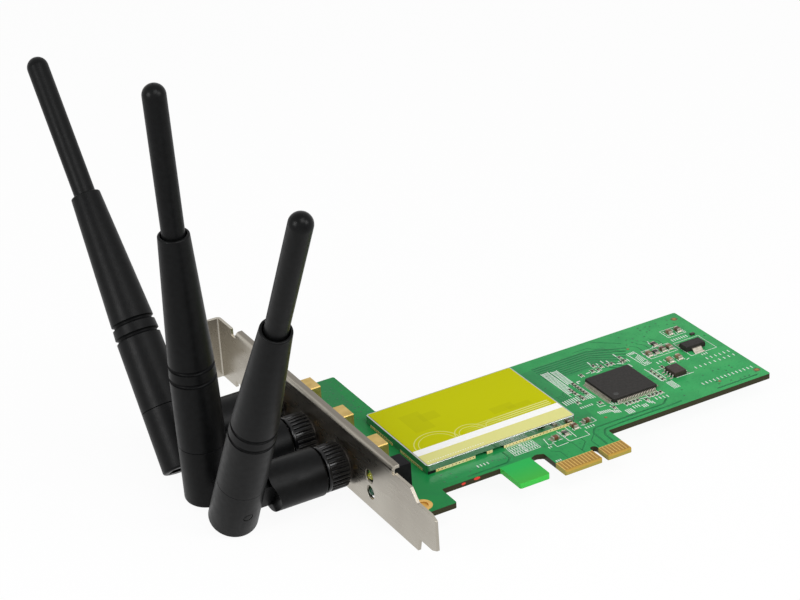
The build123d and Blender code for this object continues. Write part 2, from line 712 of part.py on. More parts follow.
poses = zip(jack_places, swivel_angles, tilt_angles)
for number, (jack_y, swivel, tilt) in enumerate(poses, start=1):
    # Hinge plane: x along the jack's axis towards the card, z along the hinge pin.
    # The mast's plane turns about the same pin, with y up the mast.
    lean = radians(swivel)
    pivot = (bracket_outer - pivot_reach, jack_y, jack_z)
    pin_direction = (0, -cos(lean), sin(lean))
    hinge = Plane(pivot, x_dir=(1, 0, 0), z_dir=pin_direction)
    jack_axis = Axis(pivot, (1, 0, 0))
    upright = Plane(hinge.location * Rotation(0, 0, tilt))
    mast_axis = Axis(pivot, upright.y_dir)
    across = Plane(pivot, x_dir=(0, 1, 0), z_dir=(1, 0, 0))

    # Knurled coupling nut that turns on the plug's neck
    with BuildPart() as coupling:
        with BuildSketch(across.offset(coupling_far)):
            Circle(coupling_diameter / 2)
        extrude(amount=coupling_length)
        with BuildSketch(across.offset(coupling_far + coupling_ring)):
            with PolarLocations(coupling_diameter / 2, rib_count):
                Rectangle(rib_groove, rib_groove, rotation=45)
        extrude(amount=coupling_length - coupling_ring, mode=Mode.SUBTRACT)
        with BuildSketch(across.offset(coupling_near)):
            Circle(coupling_recess_diameter / 2)
        extrude(amount=-coupling_recess_depth, mode=Mode.SUBTRACT)
        with BuildSketch(across.offset(coupling_near)):
            Circle(thread_diameter / 2 + running_gap)
        extrude(amount=-(coupling_length - coupling_wall), mode=Mode.SUBTRACT)
        with BuildSketch(across.offset(coupling_near)):
            Circle(plug_neck_diameter / 2 + running_gap)
        extrude(amount=-coupling_length, mode=Mode.SUBTRACT)
    save(coupling, f"coupling_nut_{number}")

    # Brass plug: a nose in the jack, a flange that keeps the nut on, and a shank in the barrel
    with BuildPart() as plug:
        with BuildSketch(hinge):
            with BuildLine():
                Polyline(
                    (shank_far, 0),
                    (shank_far, plug_shank_diameter / 2),
                    (barrel_near, plug_shank_diameter / 2),
                    (barrel_near, plug_neck_diameter / 2),
                    (flange_far, plug_neck_diameter / 2),
                    (flange_far, plug_flange_diameter / 2),
                    (flange_near, plug_flange_diameter / 2),
                    (flange_near, plug_nose_diameter / 2),
                    (flange_near + plug_nose_length, plug_nose_diameter / 2),
                    (flange_near + plug_nose_length, plug_socket / 2),
                    (flange_far, plug_socket / 2),
                    (flange_far, 0),
                    close=True,
                )
            make_face()
        revolve(axis=jack_axis)
    save(plug, f"antenna_plug_{number}")

    # Hinge barrel: a round body scooped out for the mast's end, with a tongue for the pin.
    # Its lower horn is cut back, as the mast's square edge comes round there when it is straightened.
    with BuildPart() as barrel:
        with BuildSketch(across.offset(horn_tip)):
            Circle(barrel_radius)
        extrude(amount=barrel_near - horn_tip)
        chamfer(barrel.edges().sort_by(Axis.X)[-1], length=barrel_edge)
        with BuildSketch(hinge):
            Circle(scoop_radius)
            bounded(0, mast_end + scoop_gap, -barrel_diameter, 0)
        extrude(amount=barrel_diameter, both=True, mode=Mode.SUBTRACT)
        with BuildSketch(hinge):
            Circle(tongue_radius)
            bounded(0, (scoop_radius + barrel_near) / 2, -tongue_radius, tongue_radius)
        extrude(amount=tongue_thickness / 2, both=True)
        with BuildSketch(hinge):
            Circle(pin_diameter / 2 + running_gap)
        extrude(amount=tongue_thickness, both=True, mode=Mode.SUBTRACT)
        with BuildSketch(across.offset(barrel_near)):
            Circle(plug_shank_diameter / 2 + snug_gap)
        extrude(amount=-plug_shank_length, mode=Mode.SUBTRACT)
    save(barrel, f"hinge_barrel_{number}")

    # Mast sleeve: a tapered moulding with two ring grooves, forked at its lower end round the tongue.
    # The edge that passes the barrel first is rounded about the pin.
    with BuildPart() as sleeve:
        groove_low = groove_places[0] - mast_end
        with BuildSketch(upright):
            with BuildLine():
                Polyline(
                    (0, -mast_end),
                    (mast_radius - mast_edge, -mast_end),
                    (mast_radius, mast_edge - mast_end),
                    (mast_waist_diameter / 2, groove_low),
                    (mast_top_diameter / 2, sleeve_top - shoulder_edge),
                    (mast_top_diameter / 2 - shoulder_edge, sleeve_top),
                    (rim_diameter / 2, sleeve_top),
                    (rim_diameter / 2, sleeve_top - rim_depth),
                    (rod_diameter / 2 + snug_gap, sleeve_top - rim_depth),
                    (rod_diameter / 2 + snug_gap, rod_start),
                    (choke_diameter / 2 + snug_gap, rod_start),
                    (choke_diameter / 2 + snug_gap, radiator_bore_start - mast_end),
                    (0, radiator_bore_start - mast_end),
                    close=True,
                )
            make_face()
            for place in groove_places:
                share = (place - groove_places[0]) / (sleeve_length - groove_places[0])
                wall = (mast_waist_diameter + share * (mast_top_diameter - mast_waist_diameter)) / 2
                with Locations((wall, place - mast_end)):
                    RegularPolygon(groove_radius, 6, rotation=30, mode=Mode.SUBTRACT)
        revolve(axis=mast_axis)
        with BuildSketch(upright):
            bounded(0, mast_end_diameter, -mast_end_diameter, 0)
            Circle(relief_radius, mode=Mode.SUBTRACT)
        extrude(amount=mast_end_diameter, both=True, mode=Mode.SUBTRACT)
        slot = tongue_radius + hinge_gap
        with BuildSketch(upright):
            Circle(slot)
            bounded(0, mast_end_diameter, -mast_end_diameter, slot)
            bounded(-slot, 0, -mast_end_diameter, 0)
        extrude(amount=tongue_thickness / 2 + hinge_gap, both=True, mode=Mode.SUBTRACT)
        with BuildSketch(upright):
            Circle(pin_diameter / 2 + snug_gap)
        extrude(amount=mast_end_diameter, both=True, mode=Mode.SUBTRACT)
    save(sleeve, f"mast_sleeve_{number}")

    # Hinge pin, fast in the fork and free in the tongue
    pin_length = 2 * sqrt(mast_radius**2 - pin_diameter**2 / 4) - 2 * pin_recess
    with BuildPart() as pin:
        with BuildSketch(upright):
            Circle(pin_diameter / 2)
        extrude(amount=pin_length / 2, both=True)
    save(pin, f"hinge_pin_{number}")

    # Mast rod: a round-tipped tube set into the sleeve's top
    with BuildPart() as rod:
        radius = rod_diameter / 2
        bore = wire_diameter / 2 + snug_gap
        bore_end = rod_end - wire_tip_gap
        with BuildSketch(upright):
            with BuildLine():
                dome = CenterArc((0, rod_end - radius), radius, 0, 90)
                Polyline(
                    dome @ 1,
                    (0, bore_end),
                    (bore, bore_end),
                    (bore, rod_start),
                    (radius, rod_start),
                    dome @ 0,
                )
            make_face()
        revolve(axis=mast_axis)
    save(rod, f"mast_rod_{number}")

    # Radiator inside the mast: a choke tube in the sleeve and a wire up the rod
    with BuildPart() as radiator:
        with BuildSketch(upright):
            bounded(0, choke_diameter / 2, radiator_bore_start - mast_end, rod_start)
            bounded(0, wire_diameter / 2, rod_start, rod_end - wire_tip_gap)
        revolve(axis=mast_axis)
    save(radiator, f"radiator_{number}")
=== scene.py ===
import json
import math
import random

import bmesh
import bpy
from mathutils import Matrix, Vector

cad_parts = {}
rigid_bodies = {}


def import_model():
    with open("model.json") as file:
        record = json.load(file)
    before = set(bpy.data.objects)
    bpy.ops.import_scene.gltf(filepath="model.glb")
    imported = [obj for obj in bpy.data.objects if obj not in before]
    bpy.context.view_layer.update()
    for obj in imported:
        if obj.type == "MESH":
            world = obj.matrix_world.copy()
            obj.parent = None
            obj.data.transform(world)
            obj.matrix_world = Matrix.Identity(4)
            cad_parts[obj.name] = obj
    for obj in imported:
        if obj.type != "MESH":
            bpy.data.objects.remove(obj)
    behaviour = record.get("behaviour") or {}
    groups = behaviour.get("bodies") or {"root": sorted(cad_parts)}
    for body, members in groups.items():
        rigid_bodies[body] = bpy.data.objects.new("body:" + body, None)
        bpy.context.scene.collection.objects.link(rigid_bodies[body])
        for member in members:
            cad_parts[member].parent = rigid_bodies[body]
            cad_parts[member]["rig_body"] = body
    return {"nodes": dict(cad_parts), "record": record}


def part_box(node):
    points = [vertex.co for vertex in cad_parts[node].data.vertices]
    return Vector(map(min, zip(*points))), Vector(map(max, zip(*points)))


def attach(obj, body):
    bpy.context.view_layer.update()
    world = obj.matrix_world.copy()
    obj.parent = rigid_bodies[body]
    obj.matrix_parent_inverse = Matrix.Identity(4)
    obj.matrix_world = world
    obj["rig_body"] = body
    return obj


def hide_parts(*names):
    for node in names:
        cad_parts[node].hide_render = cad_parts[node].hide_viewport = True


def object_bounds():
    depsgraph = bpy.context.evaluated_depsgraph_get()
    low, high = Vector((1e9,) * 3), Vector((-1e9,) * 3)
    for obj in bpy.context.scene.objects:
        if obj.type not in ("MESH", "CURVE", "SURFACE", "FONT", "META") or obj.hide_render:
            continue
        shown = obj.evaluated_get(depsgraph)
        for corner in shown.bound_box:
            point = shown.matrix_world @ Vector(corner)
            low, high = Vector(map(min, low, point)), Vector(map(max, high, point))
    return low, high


# Packed card: every solid stands at its real place, in metres, and already rides on its own body.
# The origin is the middle of the key notch, on the contact edge, half way through the board.
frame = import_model()
solids = frame["nodes"]
cad_low, cad_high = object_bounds()
mm = 0.001


# Circuit board: glass cloth in epoxy with copper inside, routed to shape and coated with green mask.
# The lock tab holds no copper, so it looks brighter, and the contact edge is left bare of mask.
def node(tree, kind, inputs=None, **settings):
    """Adds one node to a tree, with its settings, and links or sets its inputs."""
    made = tree.nodes.new(kind)
    for name, value in settings.items():
        setattr(made, name, value)
    for key, value in (inputs or {}).items():
        if isinstance(value, bpy.types.NodeSocket):
            tree.links.new(value, made.inputs[key])
        else:
            made.inputs[key].default_value = value
    return made


def math_of(tree, operation, first, second=0.0):
    return node(tree, "ShaderNodeMath", {0: first, 1: second}, operation=operation).outputs[0]


def scaled(tree, value, share):
    return math_of(tree, "MULTIPLY", value, share)


def object_place(tree):
    """Coordinates that stay with the piece, in metres."""
    return node(tree, "ShaderNodeTexCoord").outputs["Object"]


def axes_of(tree, vector):
    """The three parts of a vector, as sockets."""
    return node(tree, "ShaderNodeSeparateXYZ", {0: vector}).outputs


def blend(tree, factor, first, second):
    """Colour between two colours or sockets, by a factor."""
    first, second = [c if isinstance(c, bpy.types.NodeSocket) else (*c, 1) for c in (first, second)]
    return node(tree, "ShaderNodeMix", {0: factor, 6: first, 7: second}, data_type="RGBA").outputs[2]


def spread(tree, value, low, high):
    """A value mapped from low to high onto 0 to 1, clamped."""
    return node(tree, "ShaderNodeMapRange", {0: value, 1: low, 2: high}).outputs[0]


def grain(tree, place, scale, detail=2.0):
    """Even noise of a given scale, in waves per metre."""
    return node(tree, "ShaderNodeTexNoise", {"Vector": place, "Scale": scale, "Detail": detail}).outputs[0]


def roughen(tree, shader, height, depth):
    """Small relief on a finish, from a height between 0 and 1 and a depth in mm."""
    bump = node(tree, "ShaderNodeBump", {"Height": height, "Strength": 1.0, "Distance": depth * mm})
    tree.links.new(bump.outputs[0], shader.inputs["Normal"])


def finish(name, color, roughness, metallic=0.0, specular=0.5):
    """A material with its tree and shader, ready for detail."""
    material = bpy.data.materials.new(name)
    material.use_nodes = True
    tree = material.node_tree
    shader = tree.nodes["Principled BSDF"]
    shader.inputs["Base Color"].default_value = (*color, 1)
    shader.inputs["Roughness"].default_value = roughness
    shader.inputs["Metallic"].default_value = metallic
    shader.inputs["Specular IOR Level"].default_value = specular
    material.diffuse_color = (*color, 1)
    return material, tree, shader


def mottled(name, first, second, scale, roughness, metallic=0.0, specular=0.5, relief=None):
    """A finish that wanders between two colours, with a fine relief given as scale and depth in mm."""
    material, tree, shader = finish(name, first, roughness, metallic, specular)
    place = object_place(tree)
    share = spread(tree, grain(tree, place, scale, 3), 0.3, 0.7)
    tree.links.new(blend(tree, share, first, second), shader.inputs["Base Color"])
    if relief:
        roughen(tree, shader, grain(tree, place, relief[0], 2), relief[1])
    return material


def region(tree, place, x_low, x_high, y_low, y_high):
    """1 inside a rectangle given in mm, seen from above, and 0 outside it."""
    middle = Vector((x_low + x_high, y_low + y_high, 0)) * mm / 2
    half = Vector((x_high - x_low, y_high - y_low, 0)) * mm / 2
    moved = node(tree, "ShaderNodeVectorMath", {0: place, 1: middle}, operation="SUBTRACT").outputs[0]
    away = node(tree, "ShaderNodeVectorMath", {0: moved}, operation="ABSOLUTE").outputs[0]
    left = node(tree, "ShaderNodeVectorMath", {0: half, 1: away}, operation="SUBTRACT").outputs[0]
    sides = axes_of(tree, left)
    return math_of(tree, "GREATER_THAN", math_of(tree, "MINIMUM", sides[0], sides[1]), 0.0)


def shade(shape, corner):
    """Smooth faces, with a crease wherever two faces meet at more than the corner angle."""
    for face in shape.faces:
        face.smooth = True
    for edge in shape.edges:
        if len(edge.link_faces) == 2 and edge.calc_face_angle() > math.radians(corner):
            edge.smooth = False


def mesh_of(name, shape):
    """A mesh from a bmesh, which is used up."""
    mesh = bpy.data.meshes.new(name)
    shape.to_mesh(mesh)
    shape.free()
    return mesh


def placed(name, data):
    """A new object in the scene."""
    made = bpy.data.objects.new(name, data)
    bpy.context.scene.collection.objects.link(made)
    return made


def new_piece(name, shape, material, body="card"):
    """A piece at the origin, from a bmesh in metres, that rides on a body."""
    piece = placed(name, mesh_of(name, shape))
    piece.data.materials.append(material)
    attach(piece, body)
    return piece


def stands_for(piece, solid):
    """Shows a piece in place of a solid, by hiding the solid."""
    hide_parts(solid)


def merged(shape):
    """Joins the points of a bmesh that lie at the same place."""
    bmesh.ops.remove_doubles(shape, verts=shape.verts, dist=0.0005 * mm)


def softened(solid, name, material, edge, rounds=2):
    """A merged copy of a solid with small rounded edges, which stands for it."""
    flat, corner = math.radians(0.5), math.radians(28)
    shape = bmesh.new()
    shape.from_mesh(solids[solid].data)
    merged(shape)
    bmesh.ops.dissolve_limit(shape, angle_limit=flat, verts=shape.verts, edges=shape.edges)
    edges = [e for e in shape.edges if len(e.link_faces) == 2]
    sharp = [e for e in edges if e.calc_face_angle() > corner]
    bmesh.ops.bevel(shape, geom=sharp, offset=edge * mm, segments=rounds, profile=0.5, affect="EDGES",
                    clamp_overlap=True)
    shade(shape, 50)
    piece = new_piece(name, shape, material, solids[solid]["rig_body"])
    even = piece.modifiers.new("even_shading", "WEIGHTED_NORMAL")
    even.keep_sharp = True
    stands_for(piece, solid)


def painted(solid, material):
    """Gives a solid that is shown as it is its finish."""
    solids[solid].data.materials.clear()
    solids[solid].data.materials.append(material)


board_low, board_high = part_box("circuit_board")
board_top = board_high.z
board_bottom = board_low.z
long_edge = 11.0
tab_left, tab_right = -25.05, -16.05
block_left, block_right = -12.15, 8.15
mask_rough, mask_gloss = 0.26, 0.07
left_green, right_green, speck_green = (0.008, 0.225, 0.052), (0.045, 0.370, 0.110), (0.008, 0.165, 0.055)
bare_green, bare_near, bare_wall = (0.018, 0.420, 0.078), (0.050, 0.400, 0.045), (0.050, 0.470, 0.065)
gilt_face, gilt_front, gilt_wall = (0.700, 0.470, 0.140), (0.420, 0.260, 0.050), (0.330, 0.265, 0.055)
dark_layer, pale_layer = (0.022, 0.023, 0.011), (0.046, 0.042, 0.021)
dull_pour, bright_pour_and_wall_sheen = (0.030, 0.185, 0.075), (0.026, 0.370, 0.105)
dull_areas = ((4.2, 9.4, 19.0, 50.4), (9.4, 33.0, 41.6, 50.4), (-46.0, -40.0, 60.0, 79.6))
# The third bright area, in front of the shield's near wall, is a painted reflection of the bright wall in
# the glossy mask; the other two are lighter patches of the board.
bright_areas_and_wall_sheen = ((4.6, 9.0, 21.6, 30.0), (33.6, 60.0, 15.6, 22.0), (-40.0, -20.0, 12.6, 18.0))

green_mask, tree, shader = finish("green_solder_mask", left_green, mask_rough, specular=mask_gloss)
coordinates = node(tree, "ShaderNodeTexCoord").outputs
place = coordinates["Object"]
along = axes_of(tree, place)
facing = axes_of(tree, coordinates["Normal"])
wall = math_of(tree, "LESS_THAN", math_of(tree, "ABSOLUTE", facing[2]), 0.7)
field = blend(tree, spread(tree, along[0], -0.050, 0.045), left_green, right_green)
for patch_green, areas, strength in ((dull_pour, dull_areas, 0.42), (bright_pour_and_wall_sheen, bright_areas_and_wall_sheen, 0.25)):
    for area in areas:
        field = blend(tree, scaled(tree, region(tree, place, *area), strength), field, patch_green)
specks = scaled(tree, spread(tree, grain(tree, place, 1500, 2), 0.60, 0.74), 0.55)
field = blend(tree, specks, field, speck_green)
clouds = scaled(tree, spread(tree, grain(tree, place, 190, 4), 0.40, 0.75), 0.35)
field = blend(tree, clouds, field, speck_green)
on_tab = region(tree, place, tab_left - 0.2, tab_right + 0.2, 0, long_edge + 0.4)
tab_field = blend(tree, spread(tree, along[1], 0.001, 0.009), bare_near, bare_green)
field = blend(tree, on_tab, field, tab_field)
on_block = region(tree, place, block_left - 0.2, block_right + 0.2, -1, 5.0)
field = blend(tree, on_block, field, gilt_face)
at_front = region(tree, place, block_left - 0.2, block_right + 0.2, -1, 0.85)
field = blend(tree, at_front, field, gilt_front)
layers = node(tree, "ShaderNodeTexWave", {"Vector": place, "Scale": 800.0, "Distortion": 0.4},
              bands_direction="Z").outputs["Fac"]
laminate = blend(tree, layers, dark_layer, pale_layer)
laminate = blend(tree, on_tab, laminate, bare_wall)
laminate = blend(tree, on_block, laminate, gilt_wall)
tree.links.new(blend(tree, wall, field, laminate), shader.inputs["Base Color"])
roughen(tree, shader, grain(tree, place, 2600, 3), 0.003)
softened("circuit_board", "routed_board", green_mask, 0.07)


# Copper tracks: etched copper under the mask. The gaps between them show as darker bands, and the edges of
# the tracks as fine pale lines of painted highlight. They fan from the radio to the interface chip and from
# the contacts.
def geometry_tree(name, inputs):
    """An empty geometry tree with named inputs, and the sockets of its group input."""
    tree = bpy.data.node_groups.new(name, "GeometryNodeTree")
    tree.interface.new_socket("Geometry", in_out="INPUT", socket_type="NodeSocketGeometry")
    for label, kind in inputs:
        tree.interface.new_socket(label, in_out="INPUT", socket_type=kind)
    tree.interface.new_socket("Geometry", in_out="OUTPUT", socket_type="NodeSocketGeometry")
    return tree, tree.nodes.new("NodeGroupInput").outputs


def close_tree(tree, geometry, material):
    """Ends a tree in real geometry with one finish."""
    real = node(tree, "GeometryNodeRealizeInstances", {0: geometry}).outputs[0]
    coated = node(tree, "GeometryNodeSetMaterial", {"Geometry": real, "Material": material}).outputs[0]
    node(tree, "NodeGroupOutput", {0: coated})


def settled(piece):
    """The mesh of an object with its modifiers carried out."""
    bpy.context.view_layer.update()
    evaluated = piece.evaluated_get(bpy.context.evaluated_depsgraph_get())
    return bpy.data.meshes.new_from_object(evaluated)


def grown(name, mesh, tree, values, body="card"):
    """Runs a tree on a mesh and keeps the result as a plain piece that rides on a body."""
    piece = placed(name, mesh)
    growth = piece.modifiers.new("growth", "NODES")
    growth.node_group = tree
    for socket in tree.interface.items_tree:
        if socket.in_out == "INPUT" and socket.name in values:
            growth[socket.identifier] = values[socket.name]
    result = settled(piece)
    piece.modifiers.clear()
    piece.data = result
    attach(piece, body)
    return piece


line_tree, given = geometry_tree(
    "laid_lines",
    (("Width", "NodeSocketFloat"), ("Height", "NodeSocketFloat"), ("Bend", "NodeSocketFloat"),
     ("Finish", "NodeSocketMaterial")),
)
curve = node(line_tree, "GeometryNodeMeshToCurve", {"Mesh": given["Geometry"]}).outputs[0]
curve = node(line_tree, "GeometryNodeFilletCurve", {"Curve": curve, "Radius": given["Bend"], "Count": 4,
                                                    "Limit Radius": True}, mode="POLY").outputs[0]
curve = node(line_tree, "GeometryNodeSetCurveNormal", {"Curve": curve}, mode="Z_UP").outputs[0]
section = node(line_tree, "GeometryNodeCurvePrimitiveQuadrilateral",
               {"Width": given["Width"], "Height": given["Height"]}).outputs[0]
ribs = node(line_tree, "GeometryNodeCurveToMesh",
            {"Curve": curve, "Profile Curve": section, "Fill Caps": True}).outputs[0]
close_tree(line_tree, ribs, given["Finish"])


def laid_lines(name, paths, face, width, height, material, bend=0.0):
    """Flat ribs along paths in mm on a board face. A path that ends at its start is closed."""
    points, edges = [], []
    for path in paths:
        closed = path[0] == path[-1]
        corners = path[:-1] if closed else path
        first = len(points)
        points += [(x * mm, y * mm, face) for x, y in corners]
        edges += [(first + i, first + i + 1) for i in range(len(corners) - 1)]
        if closed:
            edges.append((len(points) - 1, first))
    mesh = bpy.data.meshes.new(name)
    mesh.from_pydata(points, edges, [])
    values = {"Width": width * mm, "Height": 2 * height * mm, "Bend": bend * mm, "Finish": material}
    return grown(name, mesh, line_tree, values)


def fanned(start, count, step, bends):
    """Parallel open paths from a start through the bends, each bend with its own step."""
    paths = []
    for i in range(count):
        path = [(start[0] + step[0] * i, start[1] + step[1] * i)]
        for bend_x, bend_y, gap_x, gap_y in bends:
            path.append((bend_x + gap_x * i, bend_y + gap_y * i))
        paths.append(path)
    return paths


gap_green = mottled("mask_over_gap", (0.010, 0.150, 0.048), (0.018, 0.205, 0.066), 300, mask_rough,
                    specular=mask_gloss)
edge_highlight_green = mottled("mask_edge_highlight", (0.035, 0.360, 0.125), (0.026, 0.310, 0.100), 300, mask_rough,
                     specular=mask_gloss)
gap_high, edge_high = 0.012, 0.02

broad_gaps = [
    [(4.0, 5.5), (4.2, 9.0), (4.3, 12.2), (6.0, 14.2), (17.5, 14.1), (28.0, 14.1), (30.5, 16.2)],
    [(6.2, 5.5), (6.3, 9.6), (7.8, 12.2), (14.0, 12.5), (30.0, 12.5), (33.0, 12.7)],
    [(44.6, 12.6), (58.0, 12.6)],
    [(-34.0, 12.4), (-22.0, 12.4), (-20.4, 14.0), (-20.4, 17.6)],
]
broad_gaps += fanned((9.6, 42.8), 8, (0, 1.12), ((24.4, 42.8, 0.46, 1.12), (31.2, 36.0, 0.95, 1.42)))
laid_lines("broad_gaps", broad_gaps, board_top, 0.56, gap_high, gap_green, 1.4)

fine_gaps = [
    [(-3.0, 5.5), (-3.0, 11.4), (-5.1, 12.6)],
    [(-3.0, 6.6), (0.1, 9.7), (0.1, 11.9)],
    [(1.6, 5.5), (1.6, 9.2), (4.0, 11.6)],
    [(-8.0, 5.5), (-8.0, 9.0), (-10.0, 11.0)],
    [(31.7, 54.7), (33.4, 53.2), (38.3, 49.0)],
    [(24.1, 52.2), (28.7, 52.2), (31.0, 50.0), (36.4, 44.7)],
]
fine_gaps += fanned((6.4, 30.6), 5, (0, 0.75), ((8.6, 30.6, 0, 0.75), (9.8, 31.6, 0, 0.85)))
fine_gaps += fanned((33.0, 26.4), 4, (0, 0.8), ((34.0, 26.4, 0, 0.8), (34.6, 26.0, 0, 0.9)))
fine_gaps += fanned((-45.4, 60.6), 2, (0, -18.6), ((-43.6, 60.6, 0, -18.6), (-41.0, 58.0, 0, -18.6)))
fine_gaps += fanned((40.7, 41.6), 4, (2.3, 0), ((40.7, 44.4, 2.3, 0), (39.2, 46.4, 2.3, 0)))
laid_lines("fine_gaps", fine_gaps, board_top, 0.26, gap_high, gap_green, 0.5)

# Painted highlight: pale lines along the track edges stand for the light caught where the mask rides over
# them.
track_edges = [
    [(4.9, 5.5), (5.0, 11.9), (6.4, 13.4), (28.2, 13.4)],
    [(3.6, 13.0), (5.2, 14.9), (13.4, 15.1), (15.6, 15.9)],
    [(7.0, 5.5), (7.0, 9.2), (8.2, 11.7), (14.0, 11.9), (30.0, 11.9)],
    [(-2.6, 5.5), (-2.6, 6.4), (0.6, 9.4)],
]
laid_lines("track_edges", track_edges, board_top, 0.13, edge_high, edge_highlight_green, 1.2)

under_tracks = fanned((-40.0, 24.0), 9, (0, 0.9), ((-12.0, 24.0, 0.4, 0.9), (2.0, 38.0, 0.4, 0.9),
                                                   (30.0, 38.0, 0, 0.9)))
under_tracks += fanned((-10.5, 5.4), 8, (1.0, 0), ((-10.5, 9.0, 1.0, 0), (-4.5, 15.0, 1.0, 0),
                                                   (-4.5, 21.0, 1.0, 0)))
under_tracks += fanned((2.5, 5.4), 6, (1.0, 0), ((2.5, 11.0, 1.0, 0), (9.5, 18.0, 1.0, 0),
                                                 (30.0, 18.0, 1.6, 1.0)))
under_tracks += fanned((20.0, 26.0), 6, (0, 0.9), ((38.0, 26.0, 0.4, 0.9), (46.0, 34.0, 0.4, 0.9),
                                                   (57.0, 34.0, 0, 0.9)))
under_tracks += fanned((-52.0, 35.8), 3, (0, 18.6), ((-44.0, 35.8, 0, 9.0), (-36.0, 35.8, 0, 5.0)))
laid_lines("gaps_under", under_tracks, board_bottom, 0.3, edge_high, gap_green, 0.6)

# Plated through-holes: tiny copper rings under the mask, drilled where a track changes face.
# The same holes show on both faces, scattered over the ground copper.
set_tree, given = geometry_tree("set_out", (("Shape", "NodeSocketObject"), ("Finish", "NodeSocketMaterial")))
shape_in = node(set_tree, "GeometryNodeObjectInfo", {"Object": given["Shape"]}).outputs["Geometry"]
turn, size = [
    node(set_tree, "GeometryNodeInputNamedAttribute", {"Name": label}, data_type="FLOAT_VECTOR").outputs[0]
    for label in ("turn", "size")
]
turned_by = node(set_tree, "FunctionNodeEulerToRotation", {0: turn}).outputs[0]
copy_inputs = {"Points": given["Geometry"], "Instance": shape_in, "Rotation": turned_by, "Scale": size}
copies = node(set_tree, "GeometryNodeInstanceOnPoints", copy_inputs).outputs[0]
close_tree(set_tree, copies, given["Finish"])


def set_out(name, shape, places, material, body="card"):
    """Copies of one small shape, a bmesh, at each place, turn and size. Places and sizes are in mm."""
    model = placed(name + "_pattern", mesh_of(name + "_pattern", shape))
    mesh = bpy.data.meshes.new(name)
    mesh.from_pydata([Vector(spot) * mm for spot, _, _ in places], [], [])
    for label, values in (("turn", [t for _, t, _ in places]), ("size", [s for _, _, s in places])):
        layer = mesh.attributes.new(label, "FLOAT_VECTOR", "POINT")
        layer.data.foreach_set("vector", [c for value in values for c in value])
    piece = grown(name, mesh, set_tree, {"Shape": model, "Finish": material}, body)
    for label in ("turn", "size"):
        layer = piece.data.attributes.get(label)
        if layer:
            piece.data.attributes.remove(layer)
    bpy.data.objects.remove(model)
    return piece


def joined(shape, rings):
    """Faces between rings of points that follow each other. A pole is one point, repeated."""
    for low, high in zip(rings, rings[1:]):
        for i in range(len(low)):
            j = (i + 1) % len(low)
            corners = list(dict.fromkeys((low[i], low[j], high[j], high[i])))
            if len(corners) > 2:
                shape.faces.new(corners)
    bmesh.ops.recalc_face_normals(shape, faces=shape.faces)
    shade(shape, 40)


def ring_shape(steps, levels):
    """Closed rings about Z, in mm: levels are (radius, height), and radius 0 is a pole."""
    shape = bmesh.new()
    angles = [2 * math.pi * i / steps for i in range(steps)]
    rings = []
    for radius, height in levels:
        if radius == 0:
            rings.append([shape.verts.new((0, 0, height * mm))] * steps)
        else:
            points = [(radius * math.cos(a), radius * math.sin(a), height) for a in angles]
            rings.append([shape.verts.new(Vector(point) * mm) for point in points])
    joined(shape, rings)
    return shape


upright, upside_down = (0, 0, 0), (math.pi, 0, 0)
natural, half_wide = (1, 1, 1), (0.5, 0.5, 1)
hole_count, hole_spacing, holes_under = 130, math.sqrt(1.6), 70
covered = ((-43.5, 3.5, 17.0, 53.0), (15.5, 33.0, 16.5, 33.0), (-58, -46, 11, 80), (37.0, 45.0, 13.0, 24.0),
           (48, 59.5, 22, 50), (8, 35, 14.5, 55.0), (34, 50, 24, 47))
board_areas = ((-44.5, 59.8, 12.6, 54.0), (-46.0, -38.0, 55.0, 77.5))
hole_chance = random.Random(11)
hole_places = []
while len(hole_places) < hole_count:
    x_low, x_high, y_low, y_high = board_areas[0 if hole_chance.random() < 0.9 else 1]
    x, y = hole_chance.uniform(x_low, x_high), hole_chance.uniform(y_low, y_high)
    clear = all(math.hypot(x - a, y - b) > hole_spacing for a, b in hole_places)
    if clear and not any(a < x < b and c < y < d for a, b, c, d in covered):
        hole_places.append((x, y))
via_levels = ((0, -0.02), (0.30, -0.02), (0.30, 0.012), (0.24, 0.022), (0.15, 0.022), (0.11, 0.004),
              (0, 0.002))
top_mm, bottom_mm = board_top / mm, board_bottom / mm
via_places = [((x, y, top_mm), upright, natural) for x, y in hole_places]
via_places += [((x, y, bottom_mm), upside_down, natural) for x, y in hole_places]
under_chance = random.Random(5)
for _ in range(holes_under):
    spot = (under_chance.uniform(-40, 58), under_chance.uniform(14, 53), bottom_mm)
    via_places.append((spot, upside_down, natural))
via_green = mottled("mask_over_holes", (0.005, 0.105, 0.034), (0.012, 0.175, 0.055), 500, 0.3, specular=0.2)
set_out("plated_holes", ring_shape(12, via_levels), via_places, via_green)

# Gold on the board: edge contacts on both faces, the ringed hole in the foot and the sighting marks.
# Thin gold over nickel and copper, bright and a little scuffed where a slot would grip it.
gold = mottled("gold_flash", (0.74, 0.46, 0.13), (0.60, 0.35, 0.085), 700, 0.34, metallic=1.0,
               relief=(3000, 0.004))
contact_gold = mottled("contact_gold", (0.40, 0.220, 0.036), (0.33, 0.172, 0.026), 500, 0.38, metallic=0.85,
                       relief=(2200, 0.004))
softened("contact_fingers", "edge_contacts", contact_gold, 0.015, rounds=1)
softened("hole_plating", "plated_ring", gold, 0.03)
mark_places = [((x, y, top_mm), upright, natural) for x, y in ((58.8, 52.3), (59.5, 14.8))]
for x, y in ((37.9, 45.1), (11.5, 17.1), (47.5, 15.5)):
    mark_places.append(((x, y, top_mm), upright, half_wide))
mark_levels = ((0, -0.02), (0.50, -0.02), (0.50, 0.02), (0.45, 0.03), (0, 0.03))
set_out("sighting_marks", ring_shape(20, mark_levels), mark_places, contact_gold)
laminate_brown = mottled("bare_laminate", (0.075, 0.070, 0.025), (0.13, 0.10, 0.04), 900, 0.5)
bare_levels = ((0, -0.02), (1.0, -0.02), (1.0, 0.005), (0.95, 0.012), (0, 0.012))
set_out("sighting_rings", ring_shape(20, bare_levels), mark_places, laminate_brown)


